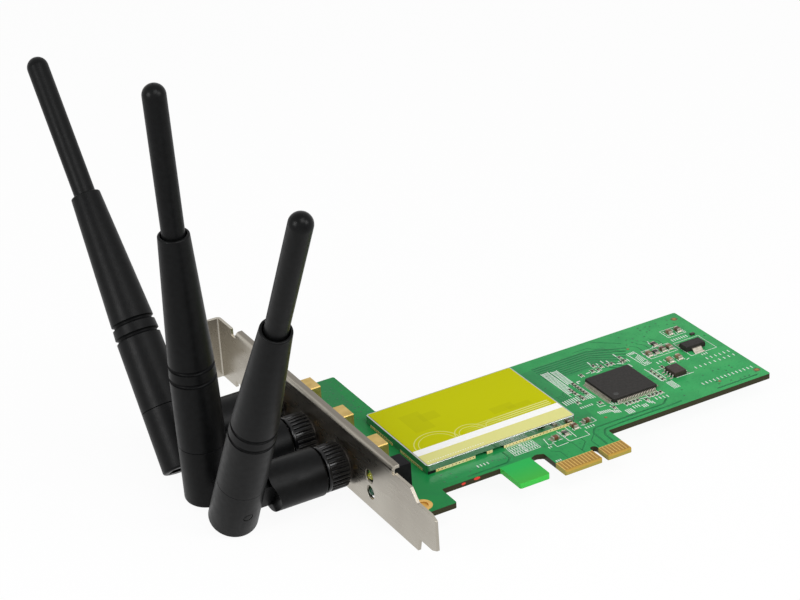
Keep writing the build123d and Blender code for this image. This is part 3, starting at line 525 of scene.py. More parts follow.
# Small parts on the board: brown ceramic capacitors, black film resistors and a diode, each end tinned.
# They were set by machine and soldered in an oven, so each end runs into a small bright fillet.
def islands(solid):
    """Lowest and highest corner, in mm, of each separate solid in a node."""
    shape = bmesh.new()
    shape.from_mesh(solids[solid].data)
    merged(shape)
    shape.verts.index_update()
    boxes, seen = [], set()
    for start in shape.verts:
        if start.index in seen:
            continue
        waiting, points = [start], []
        seen.add(start.index)
        while waiting:
            vert = waiting.pop()
            points.append(vert.co / mm)
            for edge in vert.link_edges:
                other = edge.other_vert(vert)
                if other.index not in seen:
                    seen.add(other.index)
                    waiting.append(other)
        boxes.append((Vector(map(min, zip(*points))), Vector(map(max, zip(*points)))))
    shape.free()
    return boxes


def wedge_shape():
    """A hollow-faced solder fillet of unit size, in mm, that leans on the plane x=0."""
    outline = ((0, 0), (1, 0), (1, 0.06), (0.55, 0.16), (0.25, 0.42), (0.1, 0.75), (0, 1))
    shape = bmesh.new()
    sides = [[shape.verts.new((x * mm, y * mm, z * mm)) for x, z in outline] for y in (-0.5, 0.5)]
    shape.faces.new(sides[0])
    shape.faces.new(sides[1])
    for i in range(len(outline)):
        j = (i + 1) % len(outline)
        shape.faces.new((sides[0][i], sides[0][j], sides[1][j], sides[1][i]))
    bmesh.ops.recalc_face_normals(shape, faces=shape.faces)
    return shape


def outward(end, home):
    """Heading of a part's end away from its body, the end's outer foot, and its depth and width."""
    low, high = end
    away = (low + high) / 2 - (home[0] + home[1]) / 2
    if abs(away.x) > abs(away.y):
        foot = (high.x if away.x > 0 else low.x, (low.y + high.y) / 2, top_mm)
        return (0.0 if away.x > 0 else math.pi), foot, high.x - low.x, high.y - low.y
    foot = ((low.x + high.x) / 2, high.y if away.y > 0 else low.y, top_mm)
    return (math.pi / 2 if away.y > 0 else -math.pi / 2), foot, high.y - low.y, high.x - low.x


def box_of(solid):
    """Lowest and highest corner of a solid, in mm."""
    return [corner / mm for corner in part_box(solid)]


tin = mottled("bright_tin", (0.60, 0.58, 0.54), (0.40, 0.385, 0.35), 1200, 0.34, metallic=0.9,
              relief=(4000, 0.004))
dull_tin = mottled("dull_tin", (0.46, 0.42, 0.35), (0.32, 0.29, 0.24), 1500, 0.40, metallic=0.7,
                   relief=(4000, 0.004))
capacitor_brown, tree, shader = finish("fired_ceramic", (0.16, 0.085, 0.045), 0.5, specular=0.3)
place = object_place(tree)
along = axes_of(tree, place)
batch = grain(tree, place, 330, 1)
brown = blend(tree, spread(tree, batch, 0.35, 0.65), (0.060, 0.024, 0.012), (0.17, 0.072, 0.028))
tan = blend(tree, spread(tree, batch, 0.40, 0.60), (0.075, 0.045, 0.028), (0.34, 0.225, 0.125))
tree.links.new(blend(tree, spread(tree, along[0], 0.010, 0.030), brown, tan), shader.inputs["Base Color"])
roughen(tree, shader, grain(tree, place, 5000, 2), 0.006)
film_black = mottled("resistor_film", (0.014, 0.013, 0.012), (0.045, 0.036, 0.030), 600, 0.4, specular=0.25)
softened("capacitor_bodies", "ceramic_capacitors", capacitor_brown, 0.06)
softened("capacitor_ends", "capacitor_caps", dull_tin, 0.06)
softened("resistor_bodies", "film_resistors", film_black, 0.03)
softened("resistor_ends", "resistor_caps", dull_tin, 0.03)
softened("protection_diode", "moulded_diode", film_black, 0.08)
fillet_places, side_paths = [], []
wide_end, past_end, fillet_reach, fillet_width, fillet_rise = 1.4, 0.25, 0.95, 1.05, 0.8
for kind, side_gap in (("capacitor", 0.36), ("resistor", 0.24)):
    homes = islands(f"{kind}_bodies")
    for low, high in islands(f"{kind}_ends"):
        middle = (low + high) / 2
        home = min(homes, key=lambda box: ((box[0] + box[1]) / 2 - middle).length)
        heading, foot, depth, width = outward((low, high), home)
        size = (depth * fillet_reach, width * fillet_width, (high.z - low.z) * fillet_rise)
        fillet_places.append((foot, (0, 0, heading), size))
        out = Vector((math.cos(heading), math.sin(heading), 0))
        side = Vector((-out.y, out.x, 0)) * (width / 2 + side_gap)
        end_line = Vector(foot) + out * (depth + past_end)
        mid_line = Vector(foot) - out * (depth * 1.6)
        for edge in (side, -side):
            side_paths.append([(mid_line + edge)[:2], (end_line + edge)[:2]])
        if width > wide_end:
            side_paths.append([(end_line + side)[:2], (end_line - side)[:2]])
set_out("solder_fillets", wedge_shape(), fillet_places, dull_tin)

# Interface chip: a square moulded package with gull-wing leads on four sides, soldered to the board.
# The black epoxy is faintly grained, with a polished round spot at its first lead.
moulding_black = mottled("moulded_epoxy", (0.018, 0.0165, 0.0155), (0.030, 0.0275, 0.0255), 1500, 0.5,
                         specular=0.10, relief=(6000, 0.008))
softened("interface_chip", "chip_moulding", moulding_black, 0.08)
softened("interface_chip_leads", "chip_leads", dull_tin, 0.02, rounds=1)
chip_low, chip_high = box_of("interface_chip")
spot_levels = ((0, 0.0), (0.75, 0.0), (0.75, 0.008), (0.7, 0.014), (0.55, 0.006), (0, 0.004))
chip_inset, memory_inset = 2.2, 0.9
spots = [((chip_low.x + chip_inset, chip_low.y + chip_inset, chip_high.z), upright, natural)]
polish_black = mottled("polished_spot", (0.011, 0.011, 0.011), (0.018, 0.017, 0.016), 3000, 0.22,
                       specular=0.3)

# Memory chip and voltage regulator: two small mouldings of the same epoxy on tinned leads.
# The regulator also has a wide tab soldered down, which takes its heat into the board.
moulding_brown = mottled("brown_epoxy", (0.026, 0.018, 0.015), (0.044, 0.030, 0.024), 1500, 0.5,
                         specular=0.22, relief=(6000, 0.008))
softened("memory_chip", "memory_moulding", moulding_brown, 0.08)
softened("memory_chip_leads", "memory_leads", tin, 0.03, rounds=1)
softened("voltage_regulator", "regulator_moulding", moulding_black, 0.1)
softened("voltage_regulator_leads", "regulator_leads", dull_tin, 0.03, rounds=1)
toe_places = []
for solid, reach, rise in (("interface_chip", 0.22, 0.2), ("memory_chip", 0.4, 0.25),
                           ("voltage_regulator", 0.4, 0.25)):
    for lead in islands(solid + "_leads"):
        heading, foot, depth, width = outward(lead, box_of(solid))
        toe_places.append((foot, (0, 0, heading), (reach, width * fillet_width, rise)))
set_out("lead_fillets", wedge_shape(), toe_places, dull_tin)
memory_low, memory_high = box_of("memory_chip")
memory_spot = (memory_low.x + memory_inset, memory_high.y - memory_inset, memory_high.z)
spots.append((memory_spot, upright, half_wide))
set_out("first_lead_spots", ring_shape(28, spot_levels), spots, polish_black)


# White print: outlines round the parts, corner marks, hatching and rows of plain strokes.
# It is screened on in epoxy ink, thin enough for the green to show through here and there.
def plate_shape(height):
    """A flat plate of unit length and width and a set height, in mm, that sits on z=0."""
    shape = bmesh.new()
    bmesh.ops.create_cube(shape, size=mm)
    bmesh.ops.scale(shape, vec=(1, 1, height), verts=shape.verts)
    bmesh.ops.translate(shape, vec=(0, 0, height * mm / 2), verts=shape.verts)
    return shape


def rectangle(x_low, x_high, y_low, y_high):
    return [(x_low, y_low), (x_high, y_low), (x_high, y_high), (x_low, y_high), (x_low, y_low)]


stroke_places = []
crossways, lengthways = 0.0, math.pi / 2


def strokes(x, y, count, step_x, step_y, length, heading=lengthways, width=0.28):
    """A row of plain printed strokes, each of one length and heading."""
    for i in range(count):
        spot = (x + step_x * i, y + step_y * i, top_mm)
        stroke_places.append((spot, (0, 0, heading), (length, width, 1)))


print_white = mottled("white_ink", (0.86, 0.87, 0.84), (0.62, 0.72, 0.64), 2400, 0.6, specular=0.1)
ink_width, bold_width, ink_height = 0.22, 0.4, 0.026
chip_gap = 1.55
chip_right, chip_far = chip_high.x + chip_gap, chip_high.y + chip_gap
outlines = side_paths + [
    rectangle(49.9, 58.4, 31.6, 40.3),
    rectangle(50.9, 56.9, 43.9, 48.4),
    rectangle(39.9, 48.9, 36.6, 41.6),
    rectangle(-18.7, -10.9, 14.1, 18.7),
    [(-18.7, 15.6), (-10.9, 15.6)],
    [(-18.7, 17.1), (-10.9, 17.1)],
    [(-14.8, 14.1), (-14.8, 18.7)],
    [(-8.1, 17.1), (-8.7, 13.7), (-7.2, 13.7), (-7.3, 11.7), (-3.7, 11.9)],
    [(-3.2, 18.5), (-3.1, 12.3)],
    [(-0.2, 19.0), (-0.4, 13.2)],
    [(-3.0, 12.2), (3.0, 12.0), (3.1, 14.4)],
    [(3.8, 17.4), (5.4, 17.1)],
    [(6.6, 17.0), (8.6, 17.2), (8.4, 19.5)],
    [(10.2, 47.1), (10.2, 31.6)],
    [(12.4, 47.1), (12.4, 33.6)],
    [(13.1, 46.6), (13.1, 37.5)],
    [(14.9, 46.4), (14.9, 38.0), (15.3, 27.5)],
    [(13.5, 24.3), (13.3, 22.6), (15.2, 22.5)],
    [(16.6, 23.1), (16.7, 21.4), (18.4, 20.9)],
    [(23.8, 20.1), (31.7, 19.0)],
    [(35.8, 42.8), (36.2, 34.5), (38.6, 34.7), (38.3, 42.7)],
    [(44.9, 45.7), (44.5, 43.7)],
    [(43.8, 42.0), (47.4, 42.2)],
    [(34.9, 32.9), (34.9, 24.5)],
    [(36.8, 32.4), (36.8, 25.2)],
    [(37.0, 30.4), (38.7, 30.3)],
    [(39.3, 23.8), (44.8, 23.7)],
    [(47.4, 30.5), (48.6, 31.0)],
]
laid_lines("printed_outlines", outlines, board_top, ink_width, ink_height, print_white)
chip_left, chip_near = chip_low.x - chip_gap, chip_low.y - chip_gap
chip_marks = [
    [(chip_right - 1.0, chip_far), (chip_right, chip_far), (chip_right, chip_far - 1.6)],
    [(chip_left + 1.2, chip_near), (chip_left, chip_near), (chip_left, chip_near + 1.2)],
    [(chip_left + 1.2, chip_far), (chip_left, chip_far), (chip_left, chip_far - 1.2)],
]
laid_lines("printed_corners", chip_marks, board_top, bold_width, ink_height, print_white)

strokes(11.3, 33.6, 22, 0, 0.62, 1.9, crossways)
strokes(14.0, 38.3, 13, 0, 0.64, 1.6, crossways)
strokes(6.6, 29.4, 8, 0.72, 0.06, 2.4)
strokes(12.8, 29.2, 4, 0.62, -0.2, 2.0)
strokes(8.9, 25.0, 6, 0.7, 0, 0.9)
strokes(11.3, 20.0, 7, 0.56, -0.1, 1.5)
strokes(14.9, 18.4, 4, 0.5, -0.2, 1.6)
strokes(17.2, 22.3, 4, 0.7, -0.3, 1.0)
strokes(17.8, 16.1, 4, 0.55, 0, 2.4)
strokes(20.6, 17.2, 3, 0.8, 0, 1.4)
strokes(23.0, 16.3, 3, 0.6, 0, 1.6)
strokes(25.4, 17.4, 3, 0.5, -0.5, 1.6)
strokes(28.1, 17.6, 4, 1.1, -0.2, 1.3)
strokes(35.4, 21.3, 5, 0.44, 0, 4.2, width=0.2)
strokes(36.9, 35.6, 4, 0.55, 0, 1.3)
strokes(36.5, 42.4, 4, 0.55, 0, 1.3)
strokes(37.3, 36.9, 6, 0.02, 0.62, 2.2, math.radians(33), 0.2)
strokes(39.9, 33.6, 2, 1.1, 0.3, 1.2)
strokes(52.7, 30.5, 3, 0.75, 0, 0.9)
strokes(24.4, 44.5, 1, 0, 0, 1.6)
strokes(26.0, 42.8, 1, 0, 0, 1.1)
strokes(21.2, 40.1, 3, 1.3, -0.6, 1.2, crossways)
strokes(27.8, 43.1, 2, 1.35, -0.8, 1.6)
strokes(32.8, 43.8, 1, 0, 0, 2.6)
strokes(31.4, 39.4, 1, 0, 0, 1.9, math.radians(-45))
strokes(34.3, 39.8, 1, 0, 0, 1.7)
strokes(43.0, 16.9, 14, 1.25, 0, 1.2)
strokes(46.8, 25.4, 9, 1.6, 0, 1.1)
strokes(52.4, 27.9, 6, 1.45, 0, 1.2)
strokes(-18.1, 14.85, 10, 0.74, 0, 0.8)
strokes(-18.1, 16.35, 10, 0.74, 0, 0.8)
strokes(-18.1, 17.9, 10, 0.74, 0, 0.8)
strokes(-11.4, 5.7, 3, 0.6, 0, 0.8)
strokes(-29.4, 15.2, 4, 1.0, 0, 1.1)
strokes(-9.3, 12.5, 2, 0.7, 0.15, 0.8)
strokes(4.2, 15.6, 4, 0.8, 0, 1.0)
strokes(50.8, 42.0, 7, 0.8, 0, 1.3)
set_out("printed_strokes", plate_shape(ink_height), stroke_places, print_white)
under_frames = [rectangle(-30, -12, 41, 49), rectangle(34, 52, 43, 49), rectangle(20, 33.5, 22, 35.5),
                rectangle(-42, -38, 14, 20)]
laid_lines("printed_outlines_under", under_frames, board_bottom, ink_width, ink_height, print_white)

# Ink on the board's edge: two dabs of red marker, put on the stacked boards before they were cut apart.
# They lie on the near wall below the shield, one bright and one dull.
ink_red = mottled("red_marker", (0.60, 0.030, 0.020), (0.72, 0.060, 0.035), 1400, 0.5, specular=0.2)
dab_levels = ((0, -0.02), (1.0, -0.02), (1.0, 0.010), (0.9, 0.016), (0, 0.018))
face_near = (math.pi / 2, 0, 0)
dabs = [((-32.2, long_edge, 0.32), face_near, (0.95, 0.40, 1))]
dabs.append(((-36.2, long_edge, 0.10), face_near, (0.6, 0.34, 1)))
set_out("edge_dabs", ring_shape(18, dab_levels), dabs, ink_red)

# Solder joints under the board: the legs of the jacks and of the lamp block come through and are soldered.
# Each is a bright cone with the clipped leg standing in its middle.
leg_rows, leg_aside, contact_row = (1.3, 6.4), 2.2, 3.8
lamp_rows, lamp_aside = (1.4, 4.0), 1.5
contact_joint, lamp_joint = (0.85, 0.85, 0.9), (0.75, 0.75, 0.9)
joint_places = []
antenna_numbers = (1, 2, 3)
jack_boxes = [box_of(f"antenna_jack_{i}") for i in antenna_numbers]
jack_back = jack_boxes[0][1].x
for low, high in jack_boxes:
    middle_y = (low.y + high.y) / 2
    for row in leg_rows:
        for leg_y in (middle_y - leg_aside, middle_y + leg_aside):
            joint_places.append(((jack_back - row, leg_y, bottom_mm), upside_down, natural))
    joint_places.append(((jack_back - contact_row, middle_y, bottom_mm), upside_down, contact_joint))
lamp_low, lamp_high = box_of("lamp_block")
for row in lamp_rows:
    for leg_y in (lamp_low.y + lamp_aside, lamp_high.y - lamp_aside):
        joint_places.append(((lamp_high.x - row, leg_y, bottom_mm), upside_down, lamp_joint))
cone_levels = ((0, 0), (1.0, 0), (0.98, 0.07), (0.74, 0.2), (0.52, 0.45), (0.42, 0.75), (0.4, 1.2),
               (0.34, 1.26), (0, 1.27))
set_out("solder_joints", ring_shape(20, cone_levels), joint_places, tin)


# Radio shield: a tin-plated lid pressed from thin sheet, clipped to a gilt fence soldered to the board.
# The lid's rim shows round the label, and the fence shows along its foot with a row of small holes.
def strip(shape, x_low, x_high, y_low, y_high, z_low, z_high):
    """Adds an upright box to a shape, in mm."""
    made = bmesh.ops.create_cube(shape, size=1.0)["verts"]
    low, high = Vector((x_low, y_low, z_low)), Vector((x_high, y_high, z_high))
    bmesh.ops.scale(shape, vec=(high - low) * mm, verts=made)
    bmesh.ops.translate(shape, vec=(low + high) / 2 * mm, verts=made)


shield_tin = mottled("shield_tin", (0.50, 0.52, 0.50), (0.40, 0.42, 0.40), 120, 0.16, metallic=1.0,
                     relief=(300, 0.001))
softened("shield_cover", "shield_lid", shield_tin, 0.12, rounds=3)
shield_low, shield_high = box_of("shield_cover")
fence_out, fence_in, fence_top = 0.03, 0.1, top_mm + 0.78
hole_pitch, hole_start, hole_level = 1.05, 0.7, top_mm + 0.42
corner_low, corner_high = -41.9, -39.7
long_runs = ((-39.5, -27.7), (-24.2, -22.5), (-19.0, 2.4))
fence, corner_shade_blocks = bmesh.new(), bmesh.new()
dot_places = []
for wall_y, sign in ((shield_low.y, -1), (shield_high.y, 1)):
    outer, inner = wall_y + sign * fence_out, wall_y - sign * fence_in
    strip(corner_shade_blocks, corner_low, corner_high, min(outer, inner), max(outer, inner), top_mm, fence_top)
    for run_low, run_high in long_runs:
        strip(fence, run_low, run_high, min(outer, inner), max(outer, inner), top_mm, fence_top)
        for i in range(int((run_high - run_low) / hole_pitch)):
            spot = (run_low + hole_start + i * hole_pitch, outer, hole_level)
            dot_places.append((spot, (math.pi / 2 * -sign, 0, 0), natural))
side_runs = ((shield_low.y + 2.5, shield_low.y + 14), (shield_low.y + 18, shield_high.y - 2.5))
for wall_x, sign in ((shield_low.x, -1), (shield_high.x, 1)):
    outer, inner = wall_x + sign * fence_out, wall_x - sign * fence_in
    for run_low, run_high in side_runs:
        strip(fence, min(outer, inner), max(outer, inner), run_low, run_high, top_mm, fence_top)
        for i in range(int((run_high - run_low) / hole_pitch)):
            spot = (outer, run_low + hole_start + i * hole_pitch, hole_level)
            dot_places.append((spot, (0, math.pi / 2 * sign, 0), natural))
fence_gold = mottled("fence_gold", (0.96, 0.80, 0.45), (0.88, 0.60, 0.22), 500, 0.35, metallic=0.1)
new_piece("shield_fence", fence, fence_gold)
# Painted shade: the fence's small holes are flat dark discs, their darkness standing for the shade inside
# each hole.
hole_shade_brown = mottled("fence_hole_shade", (0.03, 0.018, 0.008), (0.09, 0.05, 0.02), 2000, 0.6, specular=0.2)
dot_levels = ((0, -0.01), (0.15, -0.01), (0.15, 0.006), (0, 0.006))
set_out("fence_hole_row", ring_shape(10, dot_levels), dot_places, hole_shade_brown)
# Painted shade: near-black blocks fill the open corners of the fence, standing for the shade inside those
# gaps.
corner_shade_black = mottled("corner_shade_finish", (0.006, 0.008, 0.006), (0.012, 0.014, 0.011), 900, 0.6, specular=0.1)
new_piece("open_corners", corner_shade_blocks, corner_shade_black)

# Shield label: a printed film sticker in fields of lime, white and pale yellow with plain fine lines.
# It covers the lid but for a thin rim.
label_film, tree, shader = finish("printed_film", (0.51, 0.515, 0.0), 0.4, specular=0.03)
place = object_place(tree)
along = axes_of(tree, place)
lime_near, lime_far, dark_lime = (0.53, 0.54, 0.0), (0.515, 0.525, 0.0), (0.39, 0.40, 0.0)
pale_lime, band_white, band_yellow = (0.72, 0.72, 0.24), (0.96, 0.96, 0.94), (0.74, 0.72, 0.27)
field = blend(tree, spread(tree, along[1], 0.026, 0.052), lime_near, lime_far)
label_patches = ((-14.0, -7.2, 31.6, 35.0), (-9.6, -2.6, 30.9, 33.2), (-36.0, -30.0, 35.0, 45.0),
                 (-31.5, -26.0, 39.0, 43.0))
for patch in label_patches:
    field = blend(tree, scaled(tree, region(tree, place, *patch), 0.3), field, dark_lime)
flat_place = node(tree, "ShaderNodeCombineXYZ", {0: along[0], 1: along[1], 2: 0.0}).outputs[0]
band_edge, band_top = 24.4, 27.2
ring_level = 27.0
label_rings = ((-34.0, 6.4, 0.30), (-34.0, 5.2, 0.22), (-24.0, 4.4, 0.30), (-24.0, 3.2, 0.22),
               (-16.5, 2.6, 0.22))
for ring_x, radius, width in label_rings:
    centre = Vector((ring_x, ring_level, 0)) * mm
    apart = node(tree, "ShaderNodeVectorMath", {0: flat_place, 1: centre}, operation="DISTANCE")
    off = math_of(tree, "ABSOLUTE", math_of(tree, "SUBTRACT", apart.outputs["Value"], radius * mm))
    on_ring = math_of(tree, "LESS_THAN", off, width / 2 * mm)
    field = blend(tree, scaled(tree, on_ring, 0.7), field, pale_lime)
stripes = node(tree, "ShaderNodeTexWave", {"Vector": place, "Scale": 330.0, "Distortion": 0.0},
               bands_direction="Y").outputs["Fac"]
striped = region(tree, place, -26.0, 1.4, 27.9, 30.4)
on_stripes = scaled(tree, math_of(tree, "GREATER_THAN", stripes, 0.6), striped)
fade = scaled(tree, on_stripes, spread(tree, along[0], -0.026, -0.010))
field = blend(tree, fade, field, pale_lime)
field = blend(tree, region(tree, place, -60, 20, band_edge, band_top), field, band_white)
field = blend(tree, region(tree, place, -60, 20, 0, band_edge), field, band_yellow)
dots = node(tree, "ShaderNodeTexWave", {"Vector": place, "Scale": 420.0, "Distortion": 0.0},
            bands_direction="X").outputs["Fac"]
dotted = region(tree, place, -41, -24, 20.6, 20.85)
on_dots = scaled(tree, math_of(tree, "GREATER_THAN", dots, 0.55), dotted)
field = blend(tree, on_dots, field, band_white)
tree.links.new(field, shader.inputs["Base Color"])
roughen(tree, shader, grain(tree, place, 700, 2), 0.002)
softened("shield_label", "printed_label", label_film, 0.03)

# Parts under the shield: the radio chip, its three amplifiers and the reference crystal in its can.
# They are out of sight, and get the same moulded epoxy and tin as their neighbours.
painted("radio_transceiver", moulding_black)
painted("front_end_chips", moulding_black)
painted("reference_crystal", shield_tin)

# Status lamps: two tinted lamps in a black nylon block on the board, behind the bracket's round windows.
# The upper lens is yellow-green; the lower, unlit one looks dark green.
nylon_black = mottled("black_nylon", (0.005, 0.005, 0.006), (0.010, 0.010, 0.011), 800, 0.5, specular=0.06,
                      relief=(3000, 0.01))
softened("lamp_block", "lamp_housing", nylon_black, 0.15)
for lamp, color, deep in (("status_lamp_upper", (0.40, 0.40, 0.04), (0.24, 0.26, 0.02)),
                          ("status_lamp_lower", (0.02, 0.10, 0.05), (0.01, 0.05, 0.03))):
    lens = mottled(lamp + "_lens", color, deep, 900, 0.15, specular=0.3)
    lens.node_tree.nodes["Principled BSDF"].inputs["Transmission Weight"].default_value = 0.25
    painted(lamp, lens)

# Bracket: one folded strip of nickel-plated steel, with a tail, a stiffening lip and a screw tab.
# Rolling leaves fine streaks along its length, and the plating is bright enough to mirror the antennas.
nickel, tree, shader = finish("satin_nickel", (0.42, 0.39, 0.335), 0.22, metallic=1.0)
place = object_place(tree)
stretched = node(tree, "ShaderNodeMapping", {"Vector": place, "Scale": (1, 0.06, 1)}).outputs[0]
rolled = spread(tree, grain(tree, stretched, 2500, 3), 0.3, 0.75)
cloud = spread(tree, grain(tree, place, 45, 3), 0.35, 0.7)
facing = axes_of(tree, node(tree, "ShaderNodeTexCoord").outputs["Normal"])
plated = blend(tree, cloud, (0.45, 0.42, 0.36), (0.36, 0.33, 0.28))
# Painted shade: the lip's upward face is darkened in its colour.
lip = region(tree, place, -58.4, -50, 6, 94)
lip_top_shade = scaled(tree, spread(tree, facing[2], 0.75, 0.97), lip)
tree.links.new(blend(tree, lip_top_shade, plated, (0.20, 0.18, 0.15)), shader.inputs["Base Color"])
tree.links.new(spread(tree, rolled, -2.6, 7.5), shader.inputs["Roughness"])
roughen(tree, shader, rolled, 0.0008)
softened("bracket", "folded_bracket", nickel, 0.1, rounds=3)

# Antenna jacks: gilt brass blocks soldered to the board, with threaded necks through the bracket.
# A washer and a flat hexagon nut on each neck clamp the bracket; white insulators hold gilt contacts.
jack_gold = mottled("jack_gold", (0.60, 0.42, 0.14), (0.46, 0.31, 0.085), 400, 0.34, metallic=0.85,
                    relief=(2600, 0.004))
for i in antenna_numbers:
    softened(f"antenna_jack_{i}", f"jack_block_{i}", jack_gold, 0.12)
insulator_white = mottled("white_fluoropolymer", (0.84, 0.84, 0.82), (0.74, 0.74, 0.71), 600, 0.5)
painted("jack_insulators", insulator_white)
painted("jack_contacts", gold)
# Painted shade: the washers' steel is darkened far below its own colour, standing for the dark reflections
# round the nuts.
steel_painted_dark = mottled("steel_painted_dark", (0.050, 0.045, 0.040), (0.030, 0.027, 0.024), 900, 0.45, metallic=1.0)
softened("jack_washers", "clamp_washers", steel_painted_dark, 0.05)
softened("jack_nuts", "clamp_nuts", gold, 0.08)


# Antenna couplings: a glossy black nut with fine ribs and a smooth rim turns on each brass plug.
# It is screwed on the jack by hand and holds the whole antenna.
def turned(profile, steps, origin, axis, across_axis):
    """A turned shape about an axis, in mm, from (radius, height) points, with its wall unrolled as a map."""
    axis, first = Vector(axis).normalized(), Vector(across_axis).normalized()
    second = axis.cross(first)
    angles = [2 * math.pi * i / steps for i in range(steps)]
    spokes = [first * math.cos(a) + second * math.sin(a) for a in angles]
    shape = bmesh.new()
    sheet_map = shape.loops.layers.uv.new("wrap")
    rings, run = [], [0.0]
    for radius, height in profile:
        centre = Vector(origin) + axis * height
        if radius == 0:
            rings.append([shape.verts.new(centre * mm)] * steps)
        else:
            rings.append([shape.verts.new((centre + spoke * radius) * mm) for spoke in spokes])
    for (r0, h0), (r1, h1) in zip(profile, profile[1:]):
        run.append(run[-1] + math.hypot(r1 - r0, h1 - h0))
    joined(shape, rings)
    places = {}
    for ring, along_wall in zip(rings, run):
        for i, vert in enumerate(ring):
            places.setdefault(vert, (i / steps, along_wall * mm))
    for face in shape.faces:
        spots = [places[loop.vert] for loop in face.loops]
        wraps = max(u for u, _ in spots) - min(u for u, _ in spots) > 0.5
        for loop, (u, v) in zip(face.loops, spots):
            loop[sheet_map].uv = (u + 1 if wraps and u < 0.5 else u, v)
    return shape


def rounded(centre_radius, centre_height, radius, start, end, parts=6):
    """Points of a rounded corner in a profile, from one angle to another in degrees."""
    points = []
    for i in range(parts + 1):
        angle = math.radians(start + (end - start) * i / parts)
        points.append((centre_radius + radius * math.cos(angle), centre_height + radius * math.sin(angle)))
    return points


def rib_shape(length):
    """One rounded rib of a coupling nut, in mm: it lies along X on the drum and thins out at its far end."""
    outline = ((-0.42, -0.1), (-0.36, 0.24), (-0.2, 0.42), (0, 0.47), (0.2, 0.42), (0.36, 0.24),
               (0.42, -0.1))
    shape = bmesh.new()
    stations = []
    for x, share in ((0.85, 1.0), (length - 0.55, 1.0), (length - 0.15, 0.55)):
        points = [(x, width * share, rise if rise < 0 else rise * share) for width, rise in outline]
        stations.append([shape.verts.new(Vector(point) * mm) for point in points])
    shape.faces.new(stations[0])
    shape.faces.new(stations[-1])
    joined(shape, stations)
    return shape


joints = {joint["name"]: joint for joint in frame["record"]["behaviour"]["joints"]}
inward = Vector((1, 0, 0))
nut_black = mottled("glossy_black_moulding", (0.0025, 0.0025, 0.003), (0.005, 0.005, 0.0055), 400, 0.13,
                    specular=0.26, relief=(1800, 0.002))
rib_count, rib_rise = 30, 0.5
neck_hole, thread_hole, recess_radius = 2.55, 3.225, 5.1
web, recess_depth, nut_edge, drum_edge = 0.9, 1.75, 0.35, 0.25
rim_edge, rim_flat, rim_top = 0.2, 0.75, 0.95
for i in antenna_numbers:
    pivot = Vector(joints[f"tilt_{i}"]["pos_m"]) / mm
    nut_low, nut_high = box_of(f"coupling_nut_{i}")
    length = nut_high.x - nut_low.x
    rim_radius = (nut_high.y - nut_low.y) / 2
    drum = rim_radius - rib_rise
    recess_floor = length - recess_depth
    profile = [(neck_hole, 0), (rim_radius - nut_edge, 0)]
    profile += rounded(rim_radius - nut_edge, nut_edge, nut_edge, -90, 0)
    profile += rounded(rim_radius - rim_edge, rim_flat, rim_edge, 0, 90, 3)
    profile += [(drum, rim_top), (drum, length - drum_edge), (drum - drum_edge, length)]
    profile += [(recess_radius, length), (recess_radius, recess_floor), (thread_hole, recess_floor)]
    profile += [(thread_hole, web), (neck_hole, web), (neck_hole, 0)]
    origin = Vector((nut_low.x, pivot.y, pivot.z))
    nut = turned(profile, 60, origin, inward, (0, 1, 0))
    merged(nut)
    body = f"antenna_nut_{i}"
    stands_for(new_piece(f"coupling_drum_{i}", nut, nut_black, body), f"coupling_nut_{i}")
    rib_places = []
    for k in range(rib_count):
        angle = 2 * math.pi * k / rib_count
        spot = origin + Vector((0, -math.sin(angle), math.cos(angle))) * drum
        rib_places.append((spot, (angle, 0, 0), natural))
    ribs = set_out(f"coupling_ribs_{i}", rib_shape(length), rib_places, nut_black, body)


# Antenna plugs and hinge barrels: a brass plug is moulded into a round black barrel.
# The barrel's free end is scooped out round the hinge pin and carries a flat tongue.
def cut(shape, cutters):
    """Cuts closed shapes, as bmeshes, out of another and gives the result as a bmesh."""
    holders = []
    for k, part in enumerate([shape, *cutters]):
        holders.append(placed(f"cut_{k}", mesh_of(f"cut_{k}", part)))
    for cutter in holders[1:]:
        saw = holders[0].modifiers.new("saw", "BOOLEAN")
        saw.operation = "DIFFERENCE"
        saw.object = cutter
        saw.solver = "EXACT"
    result = bmesh.new()
    result.from_mesh(settled(holders[0]))
    for holder in holders:
        bpy.data.objects.remove(holder)
    shade(result, 35)
    return result


def slab(outline, thickness, origin, first, second):
    """A flat closed shape from an outline in a plane, given in mm, with half its thickness each way."""
    normal = first.cross(second)
    shape = bmesh.new()
    sides = []
    for away in (-thickness / 2, thickness / 2):
        points = [origin + first * x + second * y + normal * away for x, y in outline]
        sides.append([shape.verts.new(point * mm) for point in points])
    shape.faces.new(sides[0])
    shape.faces.new(sides[1])
    joined(shape, sides)
    return shape


def circle(radius, steps=96, start=0.0, end=360.0):
    """Points of a circle or an arc about the hinge pin."""
    closed = abs(end - start) >= 360
    parts = steps if closed else steps + 1
    angles = [math.radians(start + (end - start) * i / steps) for i in range(parts)]
    return [(radius * math.cos(a), radius * math.sin(a)) for a in angles]


def hinge_frame(number):
    """Pivot in mm, and unit vectors along the pin, up from it and along the mast and its card side."""
    joint = joints[f"tilt_{number}"]
    pin = Vector(joint["axis"])
    standing = pin.cross(inward)
    tilt = math.radians(-joint["range_deg"][0])
    mast_axis = standing * math.cos(tilt) - inward * math.sin(tilt)
    mast_side = inward * math.cos(tilt) + standing * math.sin(tilt)
    return Vector(joint["pos_m"]) / mm, pin, standing, mast_axis, mast_side


